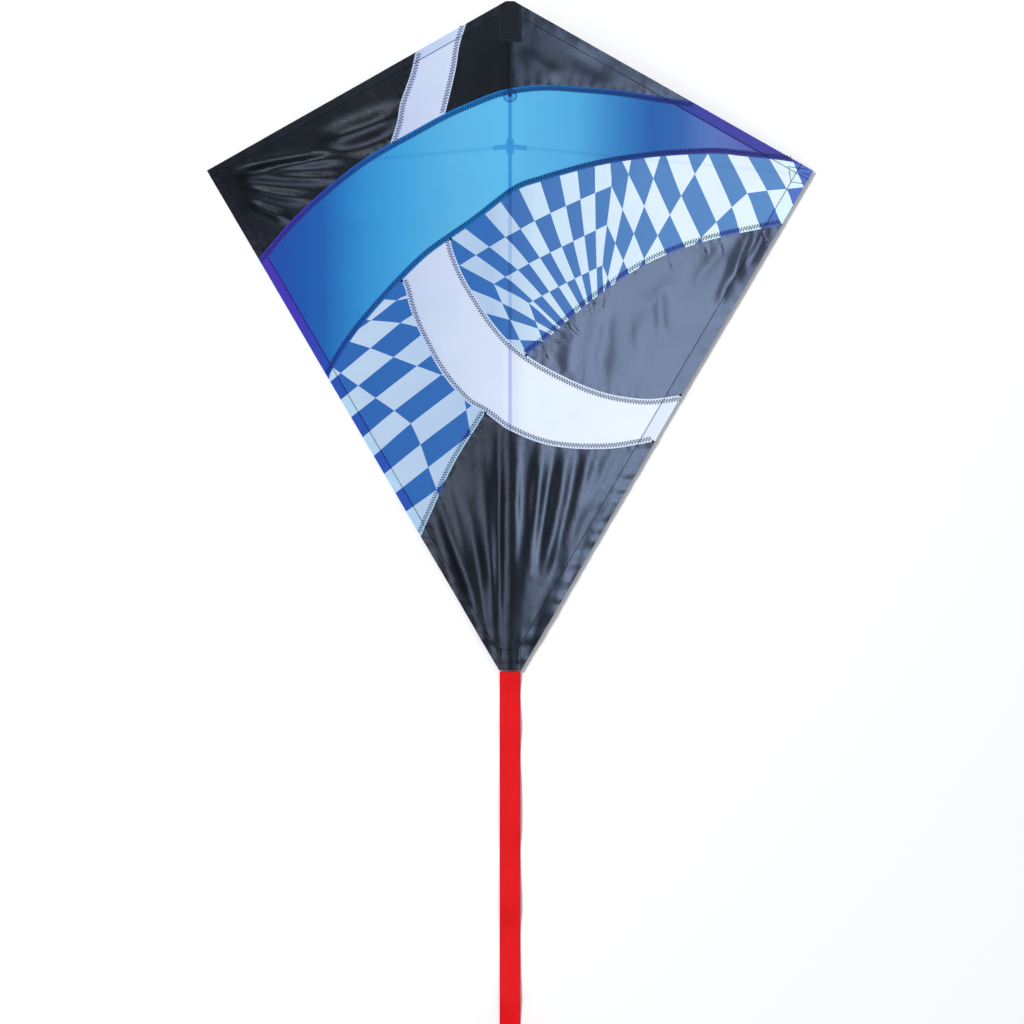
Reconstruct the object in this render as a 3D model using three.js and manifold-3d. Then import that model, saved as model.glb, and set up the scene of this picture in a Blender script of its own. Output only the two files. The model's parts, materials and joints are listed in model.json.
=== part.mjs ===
// Diamond kite: a two-winged sail on a straight spine, with a swept spreader on each side, a hinged
// centre fitting and a ribbon tail. Millimetres, +Z up, nose towards +Y. The kite lies face up on its
// two wing tips and the foot of its spine, and its tail runs along the ground to a tied roll.

import * as THREE from 'three';
import { mergeVertices } from 'three/addons/utils/BufferGeometryUtils.js';
import Module from 'manifold-3d';

const wasm = await Module();
wasm.setup();

// ---------------------------------------------------------------- driving dimensions

const SAIL_LENGTH = 762; // nose to foot, along the spine: a 30 inch kite
const TIP_REACH = 351; // spine to wing tip, along the cloth
const TIP_DOWN = 190; // how far down the spine the wing tips are
const NOSE_HALF = 4;
const FOOT_HALF = 12;
const DIHEDRAL = THREE.MathUtils.degToRad(8); // each wing leans this far back from flat
const CLOTH = 0.5;
const CLOTH_LIFT = 4.2; // back of the cloth above the spine's axis
const GAP = 0.3; // left between pieces that touch

const ROD_RADIUS = 1.5;
const HUB_DOWN = 163.5;
const SWEEP = THREE.MathUtils.degToRad(5.2); // the spreaders lean this far towards the foot
const SPREADER_END = 337;
const KNUCKLE = { radius: 3.8, length: 6 };
const ARM = { radius: 2.8, reach: 19, offset: 0.7, socketFrom: 6 };
const STOP_RING = { radius: 3, length: 2 };
const BORE = ROD_RADIUS + GAP;
const CAP = { radius: 2.3, grip: 10, end: 2.2 };
const SPINE_CAP_RADIUS = 2.3;
const SPINE_POCKET = { radius: 3.5, bore: 2.6, end: 0.8, nose: 0.6, foot: SAIL_LENGTH - 1 };
const NOSE_POCKET_LENGTH = 30;
const FOOT_POCKET_LENGTH = 28;
const WING_POCKET = { from: 323, to: 342, width: 11, bottom: -2.9, top: 3.9 };

const PATCH = { radius: 8, thickness: 0.5, holes: [106, 559], holeRadius: 1.7 };
const WEBBING = { half: 12.5, length: 46, thickness: 0.8 };
const FOOT_FACING = { half: 10.5, length: 26, thickness: 0.5 };

const RIBBON = { width: 24, thickness: 0.5, drop: 28, run: 425 };
const ROLL = { core: 8, radius: 18.5 };
const TIE = { width: 4, thickness: 0.8 };

const CURVE_STEPS = 3; // straight pieces between two drawn points of a seam
const OVERRUN = 3; // how far a seam's cut runs past its two ends
const ROUND = 20;

// Seams between the cloth panels, as [across, down] from the nose. Each ends on the sail's edge or on
// another seam.
const SEAMS = {
  band_top: [[-294, 293], [-285, 284], [-254, 249], [-211, 210], [-164, 175], [-110, 145], [-76, 127],
    [-44, 113], [-8, 100], [35, 94], [82, 96], [128, 100], [175, 107], [212, 112]],
  band_foot: [[-209, 427], [-205, 417], [-178, 376], [-139, 331], [-99, 291], [-68, 268], [-40, 249],
    [-10, 226], [11, 211], [35, 203], [58, 196], [96, 186], [128, 180], [176, 174], [235, 171],
    [271, 174], [319, 179], [344, 185]],
  hook_outer: [[-124, 316], [-120, 326], [-114, 349], [-102, 378], [-78, 421], [-50, 453], [-28, 466],
    [0, 486], [36, 501], [71, 507], [107, 508], [131, 506], [165, 500]],
  hook_inner: [[-68, 268], [-64, 284], [-52, 312], [-38, 335], [-23, 358], [-3, 382], [18, 400],
    [48, 418], [84, 435], [114, 445], [143, 450], [166, 451], [197, 447]],
  checks_foot: [[18, 400], [41, 382], [86, 344], [135, 309], [180, 286], [236, 268], [314, 252]],
  stripe_left: [[-107, 56], [-108, 59], [-114, 83], [-125, 113], [-129, 135], [-137, 159]],
  stripe_right: [[-49, 24], [-50, 27], [-57, 49], [-61, 74], [-67, 100], [-74, 127]],
  checks_left: [[-28, 466], [-38, 482], [-64, 524], [-87, 573], [-103, 609]],
};

// Cloth panels: which wing each lies on, a spot inside it, and its colour.
const PANELS = [
  ['upper_left', -1, [-200, 160], '#15181f'],
  ['stripe', -1, [-90, 80], '#cfdcf2'],
  ['upper_right_inner', -1, [-20, 60], '#262b36'],
  ['upper_right', 1, [60, 60], '#262b36'],
  ['band_left', -1, [-120, 220], '#3f86c4'],
  ['band_right', 1, [80, 140], '#5ab4e6'],
  ['checks_upper_inner', -1, [-30, 290], '#4b7dc3'],
  ['checks_upper', 1, [150, 240], '#4b7dc3'],
  ['hook_left', -1, [-60, 390], '#dce4f4'],
  ['hook_right', 1, [60, 460], '#eaf4fc'],
  ['checks_lower', -1, [-120, 450], '#3a6fb4'],
  ['slate', 1, [150, 370], '#5a6472'],
  ['foot_left', -1, [-30, 620], '#171a22'],
  ['foot_right', 1, [60, 600], '#2c313d'],
];

// ---------------------------------------------------------------- solids from geometry

function solid(geometry) {
  const bare = geometry.clone();
  bare.deleteAttribute('normal');
  bare.deleteAttribute('uv');
  const merged = mergeVertices(bare, 1e-4);
  return new wasm.Manifold(new wasm.Mesh({
    numProp: 3,
    vertProperties: new Float32Array(merged.attributes.position.array),
    triVerts: new Uint32Array(merged.index.array),
  }));
}

function geometryOf(manifold) {
  const { vertProperties, triVerts } = manifold.getMesh();
  const geometry = new THREE.BufferGeometry();
  geometry.setAttribute('position', new THREE.BufferAttribute(new Float32Array(vertProperties), 3));
  geometry.setIndex(new THREE.BufferAttribute(new Uint32Array(triVerts), 1));
  geometry.computeVertexNormals();
  return geometry;
}

const at = ([across, down]) => new THREE.Vector2(across, -down);

// A flat plate in the plane of the cloth, from one height to another.
function plate(points, bottom, top) {
  const geometry = new THREE.ExtrudeGeometry(new THREE.Shape(points),
    { depth: top - bottom, bevelEnabled: false });
  return geometry.translate(0, 0, bottom);
}

// A round bar along Y, centred across, between two distances down from the nose.
function alongSpine(radius, fromDown, toDown) {
  const bar = new THREE.CylinderGeometry(radius, radius, toDown - fromDown, ROUND);
  return bar.translate(0, -(fromDown + toDown) / 2, 0);
}

// A round bar along a spreader, between two distances out from the spine.
function alongSpreader(side, radius, from, to, offset) {
  const bar = new THREE.CylinderGeometry(radius, radius, to - from, ROUND);
  bar.rotateZ(Math.PI / 2).translate(side * (from + to) / 2, 0, 0);
  return bar.rotateZ(-side * SWEEP).translate(0, -(HUB_DOWN + offset), 0);
}

function cut(body, ...tools) {
  return geometryOf(tools.reduce((rest, tool) => rest.subtract(solid(tool)), solid(body)));
}

function named(name, geometry, color, roughness = 0.6, metalness = 0) {
  const mesh = new THREE.Mesh(geometry,
    new THREE.MeshStandardMaterial({ color, roughness, metalness }));
  mesh.name = name;
  return mesh;
}

// ---------------------------------------------------------------- the cloth

const cloth = { bottom: CLOTH_LIFT, top: CLOTH_LIFT + CLOTH };

// How far across the inner edge of a flat piece at this height is, so that the two wings' pieces
// meet over the spine with a gap.
const innerEdge = (height) => (GAP / 2 - height * Math.sin(DIHEDRAL)) / Math.cos(DIHEDRAL);

function halfOutline(side) {
  const inner = innerEdge(cloth.top);
  const across = [[inner, 0], [NOSE_HALF, 0], [TIP_REACH, TIP_DOWN], [FOOT_HALF, SAIL_LENGTH],
    [inner, SAIL_LENGTH]];
  return across.map(([x, down]) => at([side * x, down]));
}

// The narrow slot along a seam that keeps its two panels apart.
function slot(points) {
  const curve = new THREE.SplineCurve(points.map(at));
  const line = curve.getPoints((points.length - 1) * CURVE_STEPS);
  line[0].addScaledVector(curve.getTangent(0), -OVERRUN);
  line.at(-1).addScaledVector(curve.getTangent(1), OVERRUN);
  const sides = [GAP / 2, -GAP / 2].map((offset) => line.map((point, i) => {
    const along = line[Math.min(i + 1, line.length - 1)].clone().sub(line[Math.max(i - 1, 0)]);
    const normal = new THREE.Vector2(-along.y, along.x).normalize();
    return point.clone().addScaledVector(normal, offset);
  }));
  return plate([...sides[0], ...sides[1].reverse()], cloth.bottom - 1, cloth.top + 1);
}

function holesIn(bottom, top) {
  return PATCH.holes.map((down) => new THREE.CylinderGeometry(
    PATCH.holeRadius, PATCH.holeRadius, top - bottom + 2, ROUND)
    .rotateX(Math.PI / 2).translate(0, -down, (bottom + top) / 2));
}

function wingPanels(side) {
  let half = solid(plate(halfOutline(side), cloth.bottom, cloth.top));
  for (const points of Object.values(SEAMS)) half = half.subtract(solid(slot(points)));
  for (const hole of holesIn(cloth.bottom, cloth.top)) half = half.subtract(solid(hole));
  const pieces = half.decompose();
  return PANELS.filter((panel) => panel[1] === side).map(([name, , [across, down], color]) => {
    const probe = solid(new THREE.BoxGeometry(1, 1, 1).translate(across, -down, CLOTH_LIFT));
    const piece = pieces.find((candidate) => !candidate.intersect(probe).isEmpty());
    return named(`sail_${name}`, geometryOf(piece), color, 0.45);
  });
}

// ---------------------------------------------------------------- pieces of one wing

// Half of the centre fitting: a knuckle that turns on the spine and an arm that holds the spreader.
// The right knuckle sits nearer the nose than the left one.
function hubArm(side) {
  const noseward = side > 0;
  const own = noseward ? [-KNUCKLE.length - GAP / 2, -GAP / 2] : [GAP / 2, KNUCKLE.length + GAP / 2];
  const other = noseward ? [-GAP / 2, 2 * KNUCKLE.length] : [-2 * KNUCKLE.length, GAP / 2];
  const offset = -side * ARM.offset;
  const arm = solid(alongSpreader(side, ARM.radius, 0.5, ARM.reach, offset))
    .subtract(solid(alongSpine(KNUCKLE.radius + GAP, HUB_DOWN + other[0], HUB_DOWN + other[1])));
  const knuckle = solid(alongSpine(KNUCKLE.radius, HUB_DOWN + own[0], HUB_DOWN + own[1]));
  const socket = alongSpreader(side, BORE, ARM.socketFrom, ARM.reach + 1, offset);
  const bore = alongSpine(BORE, HUB_DOWN - 30, HUB_DOWN + 30);
  return geometryOf(knuckle.add(arm).subtract(solid(bore)).subtract(solid(socket)));
}

function spreader(side) {
  return alongSpreader(side, ROD_RADIUS, ARM.socketFrom + GAP, SPREADER_END, -side * ARM.offset);
}

function tipCap(side) {
  const offset = -side * ARM.offset;
  return cut(alongSpreader(side, CAP.radius, SPREADER_END - CAP.grip, SPREADER_END + CAP.end, offset),
    alongSpreader(side, BORE, SPREADER_END - CAP.grip - 1, SPREADER_END + GAP, offset));
}

function wingPocket(side) {
  const { from, to, width, bottom, top } = WING_POCKET;
  const offset = -side * ARM.offset;
  const box = new THREE.BoxGeometry(to - from, width, top - bottom)
    .translate(side * (from + to) / 2, 0, (top + bottom) / 2)
    .rotateZ(-side * SWEEP).translate(0, -(HUB_DOWN + offset), 0);
  return cut(box, alongSpreader(side, CAP.radius + GAP, from - 1, SPREADER_END + CAP.end + GAP, offset));
}

function patch(side, down) {
  const top = CLOTH_LIFT - GAP;
  const bottom = top - PATCH.thickness;
  const arc = new THREE.EllipseCurve(0, 0, PATCH.radius, PATCH.radius, -Math.PI / 2, Math.PI / 2);
  const points = arc.getPoints(ROUND).map((p) => new THREE.Vector2(side * p.x, p.y - down));
  const inner = side * innerEdge(top);
  points.push(new THREE.Vector2(inner, PATCH.radius - down), new THREE.Vector2(inner, -PATCH.radius - down));
  return cut(plate(points, bottom, top), ...holesIn(bottom, top));
}

// Half of a strip sewn on the face of the sail over the spine, between two distances down.
function facing(side, half, fromDown, toDown, thickness) {
  const bottom = cloth.top + GAP;
  const inner = innerEdge(bottom + thickness);
  const noseSlope = (TIP_REACH - NOSE_HALF) / TIP_DOWN;
  const full = (half - NOSE_HALF) / noseSlope;
  const points = fromDown < full
    ? [[inner, fromDown], [NOSE_HALF + fromDown * noseSlope, fromDown], [half, full], [half, toDown],
      [inner, toDown]]
    : [[inner, fromDown], [half, fromDown], [half, toDown], [inner, toDown]];
  return plate(points.map(([x, down]) => at([side * x, down])), bottom, bottom + thickness);
}

function wing(side) {
  const hand = side < 0 ? 'left' : 'right';
  const group = new THREE.Group();
  group.rotation.y = side * DIHEDRAL;
  group.add(
    ...wingPanels(side),
    named(`hub_arm_${hand}`, hubArm(side), '#20242b', 0.5),
    named(`spreader_rod_${hand}`, spreader(side), '#1b1d20', 0.35),
    named(`tip_cap_${hand}`, tipCap(side), '#2a2c30', 0.7),
    named(`wing_pocket_${hand}`, wingPocket(side), '#2f58a8', 0.75),
    named(`tow_patch_${hand}`, patch(side, PATCH.holes[0]), '#2a6fa8', 0.7),
    named(`foot_patch_${hand}`, patch(side, PATCH.holes[1]), '#15171c', 0.7),
    named(`nose_webbing_${hand}`,
      facing(side, WEBBING.half, 1, WEBBING.length, WEBBING.thickness), '#17191d', 0.7),
    named(`foot_facing_${hand}`, facing(side, FOOT_FACING.half, SAIL_LENGTH - FOOT_FACING.length,
      SAIL_LENGTH - 1, FOOT_FACING.thickness), '#14161a', 0.5),
  );
  return group;
}

// ---------------------------------------------------------------- the spine

const spineEnds = [4, SAIL_LENGTH - 5];

// A soft cap over one end of the spine: open towards the middle of the kite.
function spineCap(endDown, direction) {
  const far = endDown - direction * CAP.end;
  const near = endDown + direction * CAP.grip;
  const stop = endDown - direction * GAP;
  const span = (a, b) => [Math.min(a, b), Math.max(a, b)];
  return cut(alongSpine(SPINE_CAP_RADIUS, ...span(far, near)),
    alongSpine(BORE, ...span(stop, near + direction)));
}

// A sewn sleeve that holds one capped end of the spine behind the cloth.
function spinePocket(outerDown, direction, length) {
  const span = (a, b) => [Math.min(a, b), Math.max(a, b)];
  const open = outerDown + direction * length;
  return cut(alongSpine(SPINE_POCKET.radius, ...span(outerDown, open)),
    alongSpine(SPINE_POCKET.bore, ...span(outerDown + direction * SPINE_POCKET.end, open + direction)));
}

function stopRing(centreDown) {
  return cut(alongSpine(STOP_RING.radius, centreDown - STOP_RING.length / 2,
    centreDown + STOP_RING.length / 2), alongSpine(BORE, centreDown - 5, centreDown + 5));
}

function spine() {
  const group = new THREE.Group();
  const ringAt = KNUCKLE.length + GAP * 1.5 + STOP_RING.length / 2;
  group.add(
    named('spine_rod', alongSpine(ROD_RADIUS, ...spineEnds), '#1b1d20', 0.35),
    named('nose_cap', spineCap(spineEnds[0], 1), '#2a2c30', 0.7),
    named('foot_cap', spineCap(spineEnds[1], -1), '#2a2c30', 0.7),
    named('nose_pocket', spinePocket(SPINE_POCKET.nose, 1, NOSE_POCKET_LENGTH), '#17191d', 0.8),
    named('foot_pocket', spinePocket(SPINE_POCKET.foot, -1, FOOT_POCKET_LENGTH), '#14161a', 0.7),
    named('stop_ring_nose', stopRing(HUB_DOWN - ringAt), '#20242b', 0.6),
    named('stop_ring_foot', stopRing(HUB_DOWN + ringAt), '#20242b', 0.6),
  );
  return group;
}

// ---------------------------------------------------------------- the tail

// The tail's side view in Y and Z, with Y counted from the foot of the sail: from its top edge down to
// the ground, then flat along it.
function ribbonPath(topHeight) {
  const low = RIBBON.thickness / 2;
  const fall = new THREE.CubicBezierCurve(
    new THREE.Vector2(-1, topHeight),
    new THREE.Vector2(-RIBBON.drop / 2, topHeight),
    new THREE.Vector2(-RIBBON.drop / 2, low),
    new THREE.Vector2(-RIBBON.drop, low));
  return [...fall.getPoints(10), new THREE.Vector2(-RIBBON.run, low)];
}

function ribbon(topHeight) {
  const path = ribbonPath(topHeight);
  const half = new THREE.Vector2(0, RIBBON.thickness / 2);
  const section = [...path.map((p) => p.clone().add(half)),
    ...path.map((p) => p.clone().sub(half)).reverse()];
  return acrossX(section, RIBBON.width);
}

// A section drawn in Y and Z, extruded along X and centred on the spine.
function acrossX(section, width) {
  const geometry = new THREE.ExtrudeGeometry(new THREE.Shape(section),
    { depth: width, bevelEnabled: false });
  const turn = new THREE.Matrix4().makeBasis(
    new THREE.Vector3(0, 1, 0), new THREE.Vector3(0, 0, 1), new THREE.Vector3(1, 0, 0));
  return geometry.applyMatrix4(turn).translate(-width / 2, 0, 0);
}

// The rest of the tail, wound up: the ring that its turns fill.
function roll() {
  const half = RIBBON.width / 2;
  const ring = new THREE.LatheGeometry([
    new THREE.Vector2(ROLL.core, -half), new THREE.Vector2(ROLL.radius, -half),
    new THREE.Vector2(ROLL.radius, half), new THREE.Vector2(ROLL.core, half),
    new THREE.Vector2(ROLL.core, -half)], 2 * ROUND);
  return ring.rotateZ(Math.PI / 2);
}

// A loop through the core that keeps the roll closed.
function tie() {
  const reach = RIBBON.width / 2 + GAP;
  const low = ROLL.core - 2 * GAP;
  const high = ROLL.radius + GAP;
  const frame = (grow) => [[-1, -1], [1, -1], [1, 1], [-1, 1]].map(([x, z]) => new THREE.Vector2(
    x * (reach + grow), z < 0 ? low - grow : high + grow));
  const shape = new THREE.Shape(frame(TIE.thickness));
  shape.holes.push(new THREE.Path(frame(0)));
  const loop = new THREE.ExtrudeGeometry(shape, { depth: TIE.width, bevelEnabled: false });
  return loop.translate(0, 0, -TIE.width / 2).rotateX(Math.PI / 2);
}

function tail(footY, topHeight) {
  const group = new THREE.Group();
  group.position.y = footY;
  const rollY = -(RIBBON.run + Math.sqrt(2 * ROLL.radius * (RIBBON.thickness + GAP)) + GAP);
  const wound = named('tail_roll', roll(), '#e21f2b', 0.55);
  const loop = named('tail_tie', tie(), '#b8161f', 0.8);
  wound.position.set(0, rollY, ROLL.radius);
  loop.position.set(0, rollY, ROLL.radius);
  group.add(named('tail_ribbon', ribbon(topHeight), '#e21f2b', 0.55), wound, loop);
  return group;
}

// ---------------------------------------------------------------- assembly

// The kite tips nose up until its wing tips and the foot of its spine are all on the ground.
const pocketAcross = WING_POCKET.to * Math.cos(SWEEP) - WING_POCKET.width / 2 * Math.sin(SWEEP);
const pocketDown = HUB_DOWN + WING_POCKET.to * Math.sin(SWEEP) + WING_POCKET.width / 2 * Math.cos(SWEEP);
const tipDrop = pocketAcross * Math.sin(DIHEDRAL) - WING_POCKET.bottom * Math.cos(DIHEDRAL);
const TILT = Math.atan((tipDrop - SPINE_POCKET.radius) / (SPINE_POCKET.foot - pocketDown));

const kite = new THREE.Group();
kite.add(spine(), wing(-1), wing(1));
kite.rotation.x = TILT;
kite.position.z = SPINE_POCKET.foot * Math.sin(TILT) + SPINE_POCKET.radius * Math.cos(TILT);
kite.updateMatrixWorld(true);

const foot = new THREE.Vector3(0, -SAIL_LENGTH, 0).applyMatrix4(kite.matrixWorld);
const group = new THREE.Group();
group.add(kite, tail(foot.y - GAP, foot.z));

// The origin is the middle of the object's footprint, on the ground.
const extent = new THREE.Box3().setFromObject(group, true);
const centre = extent.getCenter(new THREE.Vector3());
group.position.set(-centre.x, -centre.y, -extent.min.z);

export default group;
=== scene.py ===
"""The diamond kite, dressed: pieced and sewn cloth, stitching, webbing, rods and a ribbon tail.

Flat sail positions are (across, down) in millimetres: across from the spine, right positive, and down
along the spine from the nose. place() bends them over the spine into the frame.
"""

import json
import math

import bmesh
import bpy
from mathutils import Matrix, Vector, noise
from mathutils.geometry import delaunay_2d_cdt
from mathutils.kdtree import KDTree


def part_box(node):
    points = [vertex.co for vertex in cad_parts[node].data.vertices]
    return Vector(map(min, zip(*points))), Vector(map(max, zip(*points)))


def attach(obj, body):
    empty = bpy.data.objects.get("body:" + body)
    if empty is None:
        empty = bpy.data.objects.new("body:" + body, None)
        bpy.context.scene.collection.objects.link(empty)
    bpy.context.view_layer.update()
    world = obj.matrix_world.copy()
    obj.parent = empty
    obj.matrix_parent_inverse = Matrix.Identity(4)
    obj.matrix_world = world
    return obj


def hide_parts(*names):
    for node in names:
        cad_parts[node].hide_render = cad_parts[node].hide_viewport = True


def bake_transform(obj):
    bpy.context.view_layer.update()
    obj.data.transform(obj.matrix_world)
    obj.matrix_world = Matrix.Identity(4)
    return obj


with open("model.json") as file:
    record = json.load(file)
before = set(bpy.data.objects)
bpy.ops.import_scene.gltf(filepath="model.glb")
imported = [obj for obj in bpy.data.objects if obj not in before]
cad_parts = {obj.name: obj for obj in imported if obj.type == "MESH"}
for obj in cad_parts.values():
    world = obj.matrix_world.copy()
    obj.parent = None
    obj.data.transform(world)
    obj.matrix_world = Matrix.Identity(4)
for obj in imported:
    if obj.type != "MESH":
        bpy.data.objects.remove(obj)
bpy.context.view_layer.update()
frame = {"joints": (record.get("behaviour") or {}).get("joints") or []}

MM = 0.001
JOINTS = {joint["name"]: joint for joint in frame["joints"]}
HUB = Vector(JOINTS["right_wing_fold"]["pos_m"])
NOSEWARD = Vector(JOINTS["right_wing_fold"]["axis"]).normalized()
RIGHTWARD = Vector((1, 0, 0))
OUTWARD = RIGHTWARD.cross(NOSEWARD)

# --- sizes, in millimetres

HUB_DOWN = 163.5
NOSE = HUB + NOSEWARD * HUB_DOWN * MM
DIHEDRAL = math.radians(8)
SWEEP = math.radians(5.2)
RIDGE = 2.5  # how softly the cloth bends over the spine
LENGTH, TIP_REACH, TIP_DOWN = 762, 351, 190
NOSE_HALF, FOOT_HALF = 4, 12
CLOTH_MID = 4.45  # middle of the cloth above the spine's axis
CLOTH = 0.2
LAYER = 0.24  # from one sewn layer of cloth to the next
GRID, ROW_RATIO = 3.6, 0.87  # the loose points of the cloth mesh, and how close their rows lie
LINE_STEP = 3.0
# Widths of the folded hem, by side and edge.
HEM = {(-1, "upper"): 11, (-1, "lower"): 11.5, (1, "upper"): 13, (1, "lower"): 17}
ALLOWANCE = 6.6  # width of the double layer beside a seam
CHECK_OVERRUN = 24  # how far the edges of the checks run on past their drawn ends
HOLES = (106, 559)
HOLE_RADIUS, PATCH_RADIUS = 1.7, 8.0
ROD = 1.5
ARM_OFFSET = 0.7  # how far each arm of the fitting sits off the middle, along the spine
ROUND = 28  # sides of a turned shape
RING_OFFSET = 7.45  # from the middle of the fitting to the middle of each stop ring
HANDS = {-1: "left", 1: "right"}

OUTLINE = [(-NOSE_HALF, 0), (NOSE_HALF, 0), (TIP_REACH, TIP_DOWN), (FOOT_HALF, LENGTH),
           (-FOOT_HALF, LENGTH), (-TIP_REACH, TIP_DOWN)]

# Each seam: the side of it that its double layer is on, looking along it (1 is the left hand), and its
# course. Courses end on the sail's edge or on another seam.
SEAMS = {
    "band_top": (-1, [(-294, 293), (-285, 284), (-254, 249), (-211, 210), (-164, 175), (-110, 145),
                      (-76, 127), (-44, 113), (-8, 100), (35, 94), (82, 96), (128, 100), (175, 107),
                      (212, 112)]),
    "band_foot": (1, [(-209, 427), (-205, 417), (-178, 376), (-139, 331), (-99, 291), (-68, 268),
                      (-40, 249), (-10, 226), (11, 211), (35, 203), (58, 196), (96, 186), (128, 180),
                      (176, 174), (235, 171), (271, 174), (319, 179), (344, 185)]),
    "hook_outer": (1, [(-124, 316), (-120, 326), (-114, 349), (-102, 378), (-78, 421), (-50, 453),
                       (-28, 466), (0, 486), (36, 501), (71, 507), (107, 508), (131, 506), (165, 500)]),
    "hook_inner": (-1, [(-68, 268), (-64, 284), (-52, 312), (-38, 335), (-23, 358), (-3, 382),
                        (18, 400), (48, 418), (84, 435), (114, 445), (143, 450), (166, 451),
                        (197, 447)]),
    "checks_foot": (1, [(18, 400), (41, 382), (86, 344), (135, 309), (180, 286), (236, 268),
                        (314, 252)]),
    "stripe_left": (1, [(-107, 56), (-108, 59), (-114, 83), (-125, 113), (-129, 135), (-137, 159)]),
    "stripe_right": (-1, [(-49, 24), (-50, 27), (-57, 49), (-61, 74), (-67, 100), (-74, 127)]),
    "checks_left": (-1, [(-28, 466), (-38, 482), (-64, 524), (-87, 573), (-103, 609)]),
}

# Edges of the printed checks. A list of courses is one edge with corners where they meet.
CHECK_EDGES = [
    # columns of the upper checks, from left to right
    [[(-3, 382), (11, 383), (37, 384)]],
    [[(-22, 354), (0, 360), (34, 371), (50, 379)]],
    [[(-43, 326), (-10, 340), (47, 372)]],
    [[(-61, 296), (-18, 319), (21, 341), (52, 368)]],
    [[(-67, 267), (-5, 311), (55, 366)]],
    [[(-51, 256), (7, 302), (62, 362)]],
    [[(-29, 239), (21, 296), (67, 360)]],
    [[(-10, 226), (34, 290), (74, 351)]],
    [[(11, 214), (46, 284), (80, 345)]],
    [[(35, 206), (59, 277), (86, 341)]],
    [[(57, 199), (72, 270), (89, 338)]],
    [[(77, 193), (85, 265), (94, 333)]],
    [[(97, 190), (98, 259), (100, 330)]],
    [[(115, 186), (116, 208), (111, 252), (106, 298), (107, 324)]],
    [[(138, 182), (129, 234), (112, 312)]],
    [[(172, 176), (154, 231), (130, 293), (119, 322)]],
    [[(228, 171), (197, 219), (154, 291)]],
    [[(340, 209), (320, 211), (297, 213), (274, 216)],
     [(274, 216), (256, 232), (238, 249), (220, 267)]],
    # rows of the upper checks, from the band down
    [[(-57, 298), (-23, 277), (29, 247), (81, 223), (116, 208)], [(116, 208), (142, 262), (154, 291)]],
    [[(20, 402), (0, 360), (-18, 319)], [(-18, 319), (21, 296), (59, 277), (111, 252)],
     [(111, 252), (130, 293)]],
    [[(37, 384), (27, 357), (21, 341)], [(21, 341), (45, 328), (72, 314), (106, 298)],
     [(106, 298), (112, 312)]],
    # the upper checks' edges that fan out towards the right tip
    [[(130, 183), (154, 231), (180, 286)]],
    [[(156, 181), (184, 241), (200, 274)]],
    [[(180, 176), (197, 219), (220, 267)]],
    [[(205, 174), (213, 195), (238, 249), (243, 266)]],
    [[(228, 171), (256, 232), (264, 256)]],
    [[(252, 174), (274, 216), (287, 249)]],
    [[(276, 177), (297, 213), (312, 247)]],
    [[(301, 179), (320, 211), (327, 228)]],
    [[(328, 181), (340, 209)]],
    # lower checks: slanting rows, then the edges that cross them
    [[(-182, 376), (-160, 361), (-130, 338), (-120, 333)]],
    [[(-196, 422), (-161, 393), (-126, 364), (-114, 356)]],
    [[(-189, 447), (-134, 403), (-104, 379)]],
    [[(-177, 467), (-107, 413), (-91, 401)]],
    [[(-164, 490), (-134, 465), (-79, 423)]],
    [[(-151, 511), (-114, 479), (-63, 440)]],
    [[(-140, 533), (-103, 503), (-49, 462)]],
    [[(-127, 555), (-94, 529), (-45, 491)]],
    [[(-114, 576), (-85, 555), (-73, 542)]],
    [[(-145, 337), (-130, 338), (-119, 336)]],
    [[(-160, 361), (-126, 364), (-108, 368)]],
    [[(-183, 386), (-161, 393), (-134, 403), (-107, 413), (-79, 423)]],
    [[(-195, 422), (-155, 450), (-134, 464), (-114, 479)],
     [(-114, 479), (-103, 503), (-94, 529), (-80, 566)]],
    [[(-50, 462), (-45, 491)]],
]

# Panels: CAD node, a spot inside, material, and for a checked one a spot inside a blue check.
PANELS = [
    ("sail_upper_left", (-200, 160), "black", None),
    ("sail_stripe", (-90, 80), "white", None),
    ("sail_upper_right_inner", (-20, 60), "black", None),
    ("sail_upper_right", (60, 60), "black", None),
    ("sail_band_left", (-120, 220), "sky", None),
    ("sail_band_right", (80, 140), "sky", None),
    ("sail_checks_upper_inner", (-30, 290), "checks", (-35, 255)),
    ("sail_checks_upper", (150, 240), "checks", (10, 236)),
    ("sail_hook_left", (-60, 390), "white", None),
    ("sail_hook_right", (60, 460), "white", None),
    ("sail_checks_lower", (-120, 450), "checks", (-148, 423)),
    ("sail_slate", (150, 370), "slate", None),
    ("sail_foot_left", (-30, 620), "black", None),
    ("sail_foot_right", (60, 600), "black", None),
]

# --- camera, floor and light

CAMERA_AT = (0.00228, 0.02684, 4.0)
LENS = 122.24


def add_camera():
    camera = bpy.data.objects.new("camera", bpy.data.cameras.new("camera"))
    bpy.context.scene.collection.objects.link(camera)
    camera.data.sensor_width = 36
    camera.data.lens = LENS
    camera.location = CAMERA_AT
    bpy.context.scene.camera = camera


def add_softbox(name, place_at, aim, width, height, power, colour=(1, 1, 1)):
    light = bpy.data.objects.new(name, bpy.data.lights.new(name, "AREA"))
    bpy.context.scene.collection.objects.link(light)
    light.data.shape = "RECTANGLE"
    light.data.size, light.data.size_y = width, height
    light.data.energy, light.data.color = power, colour
    light.location = place_at
    light.rotation_euler = (Vector(aim) - Vector(place_at)).to_track_quat("-Z", "Y").to_euler()
    return light


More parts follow.
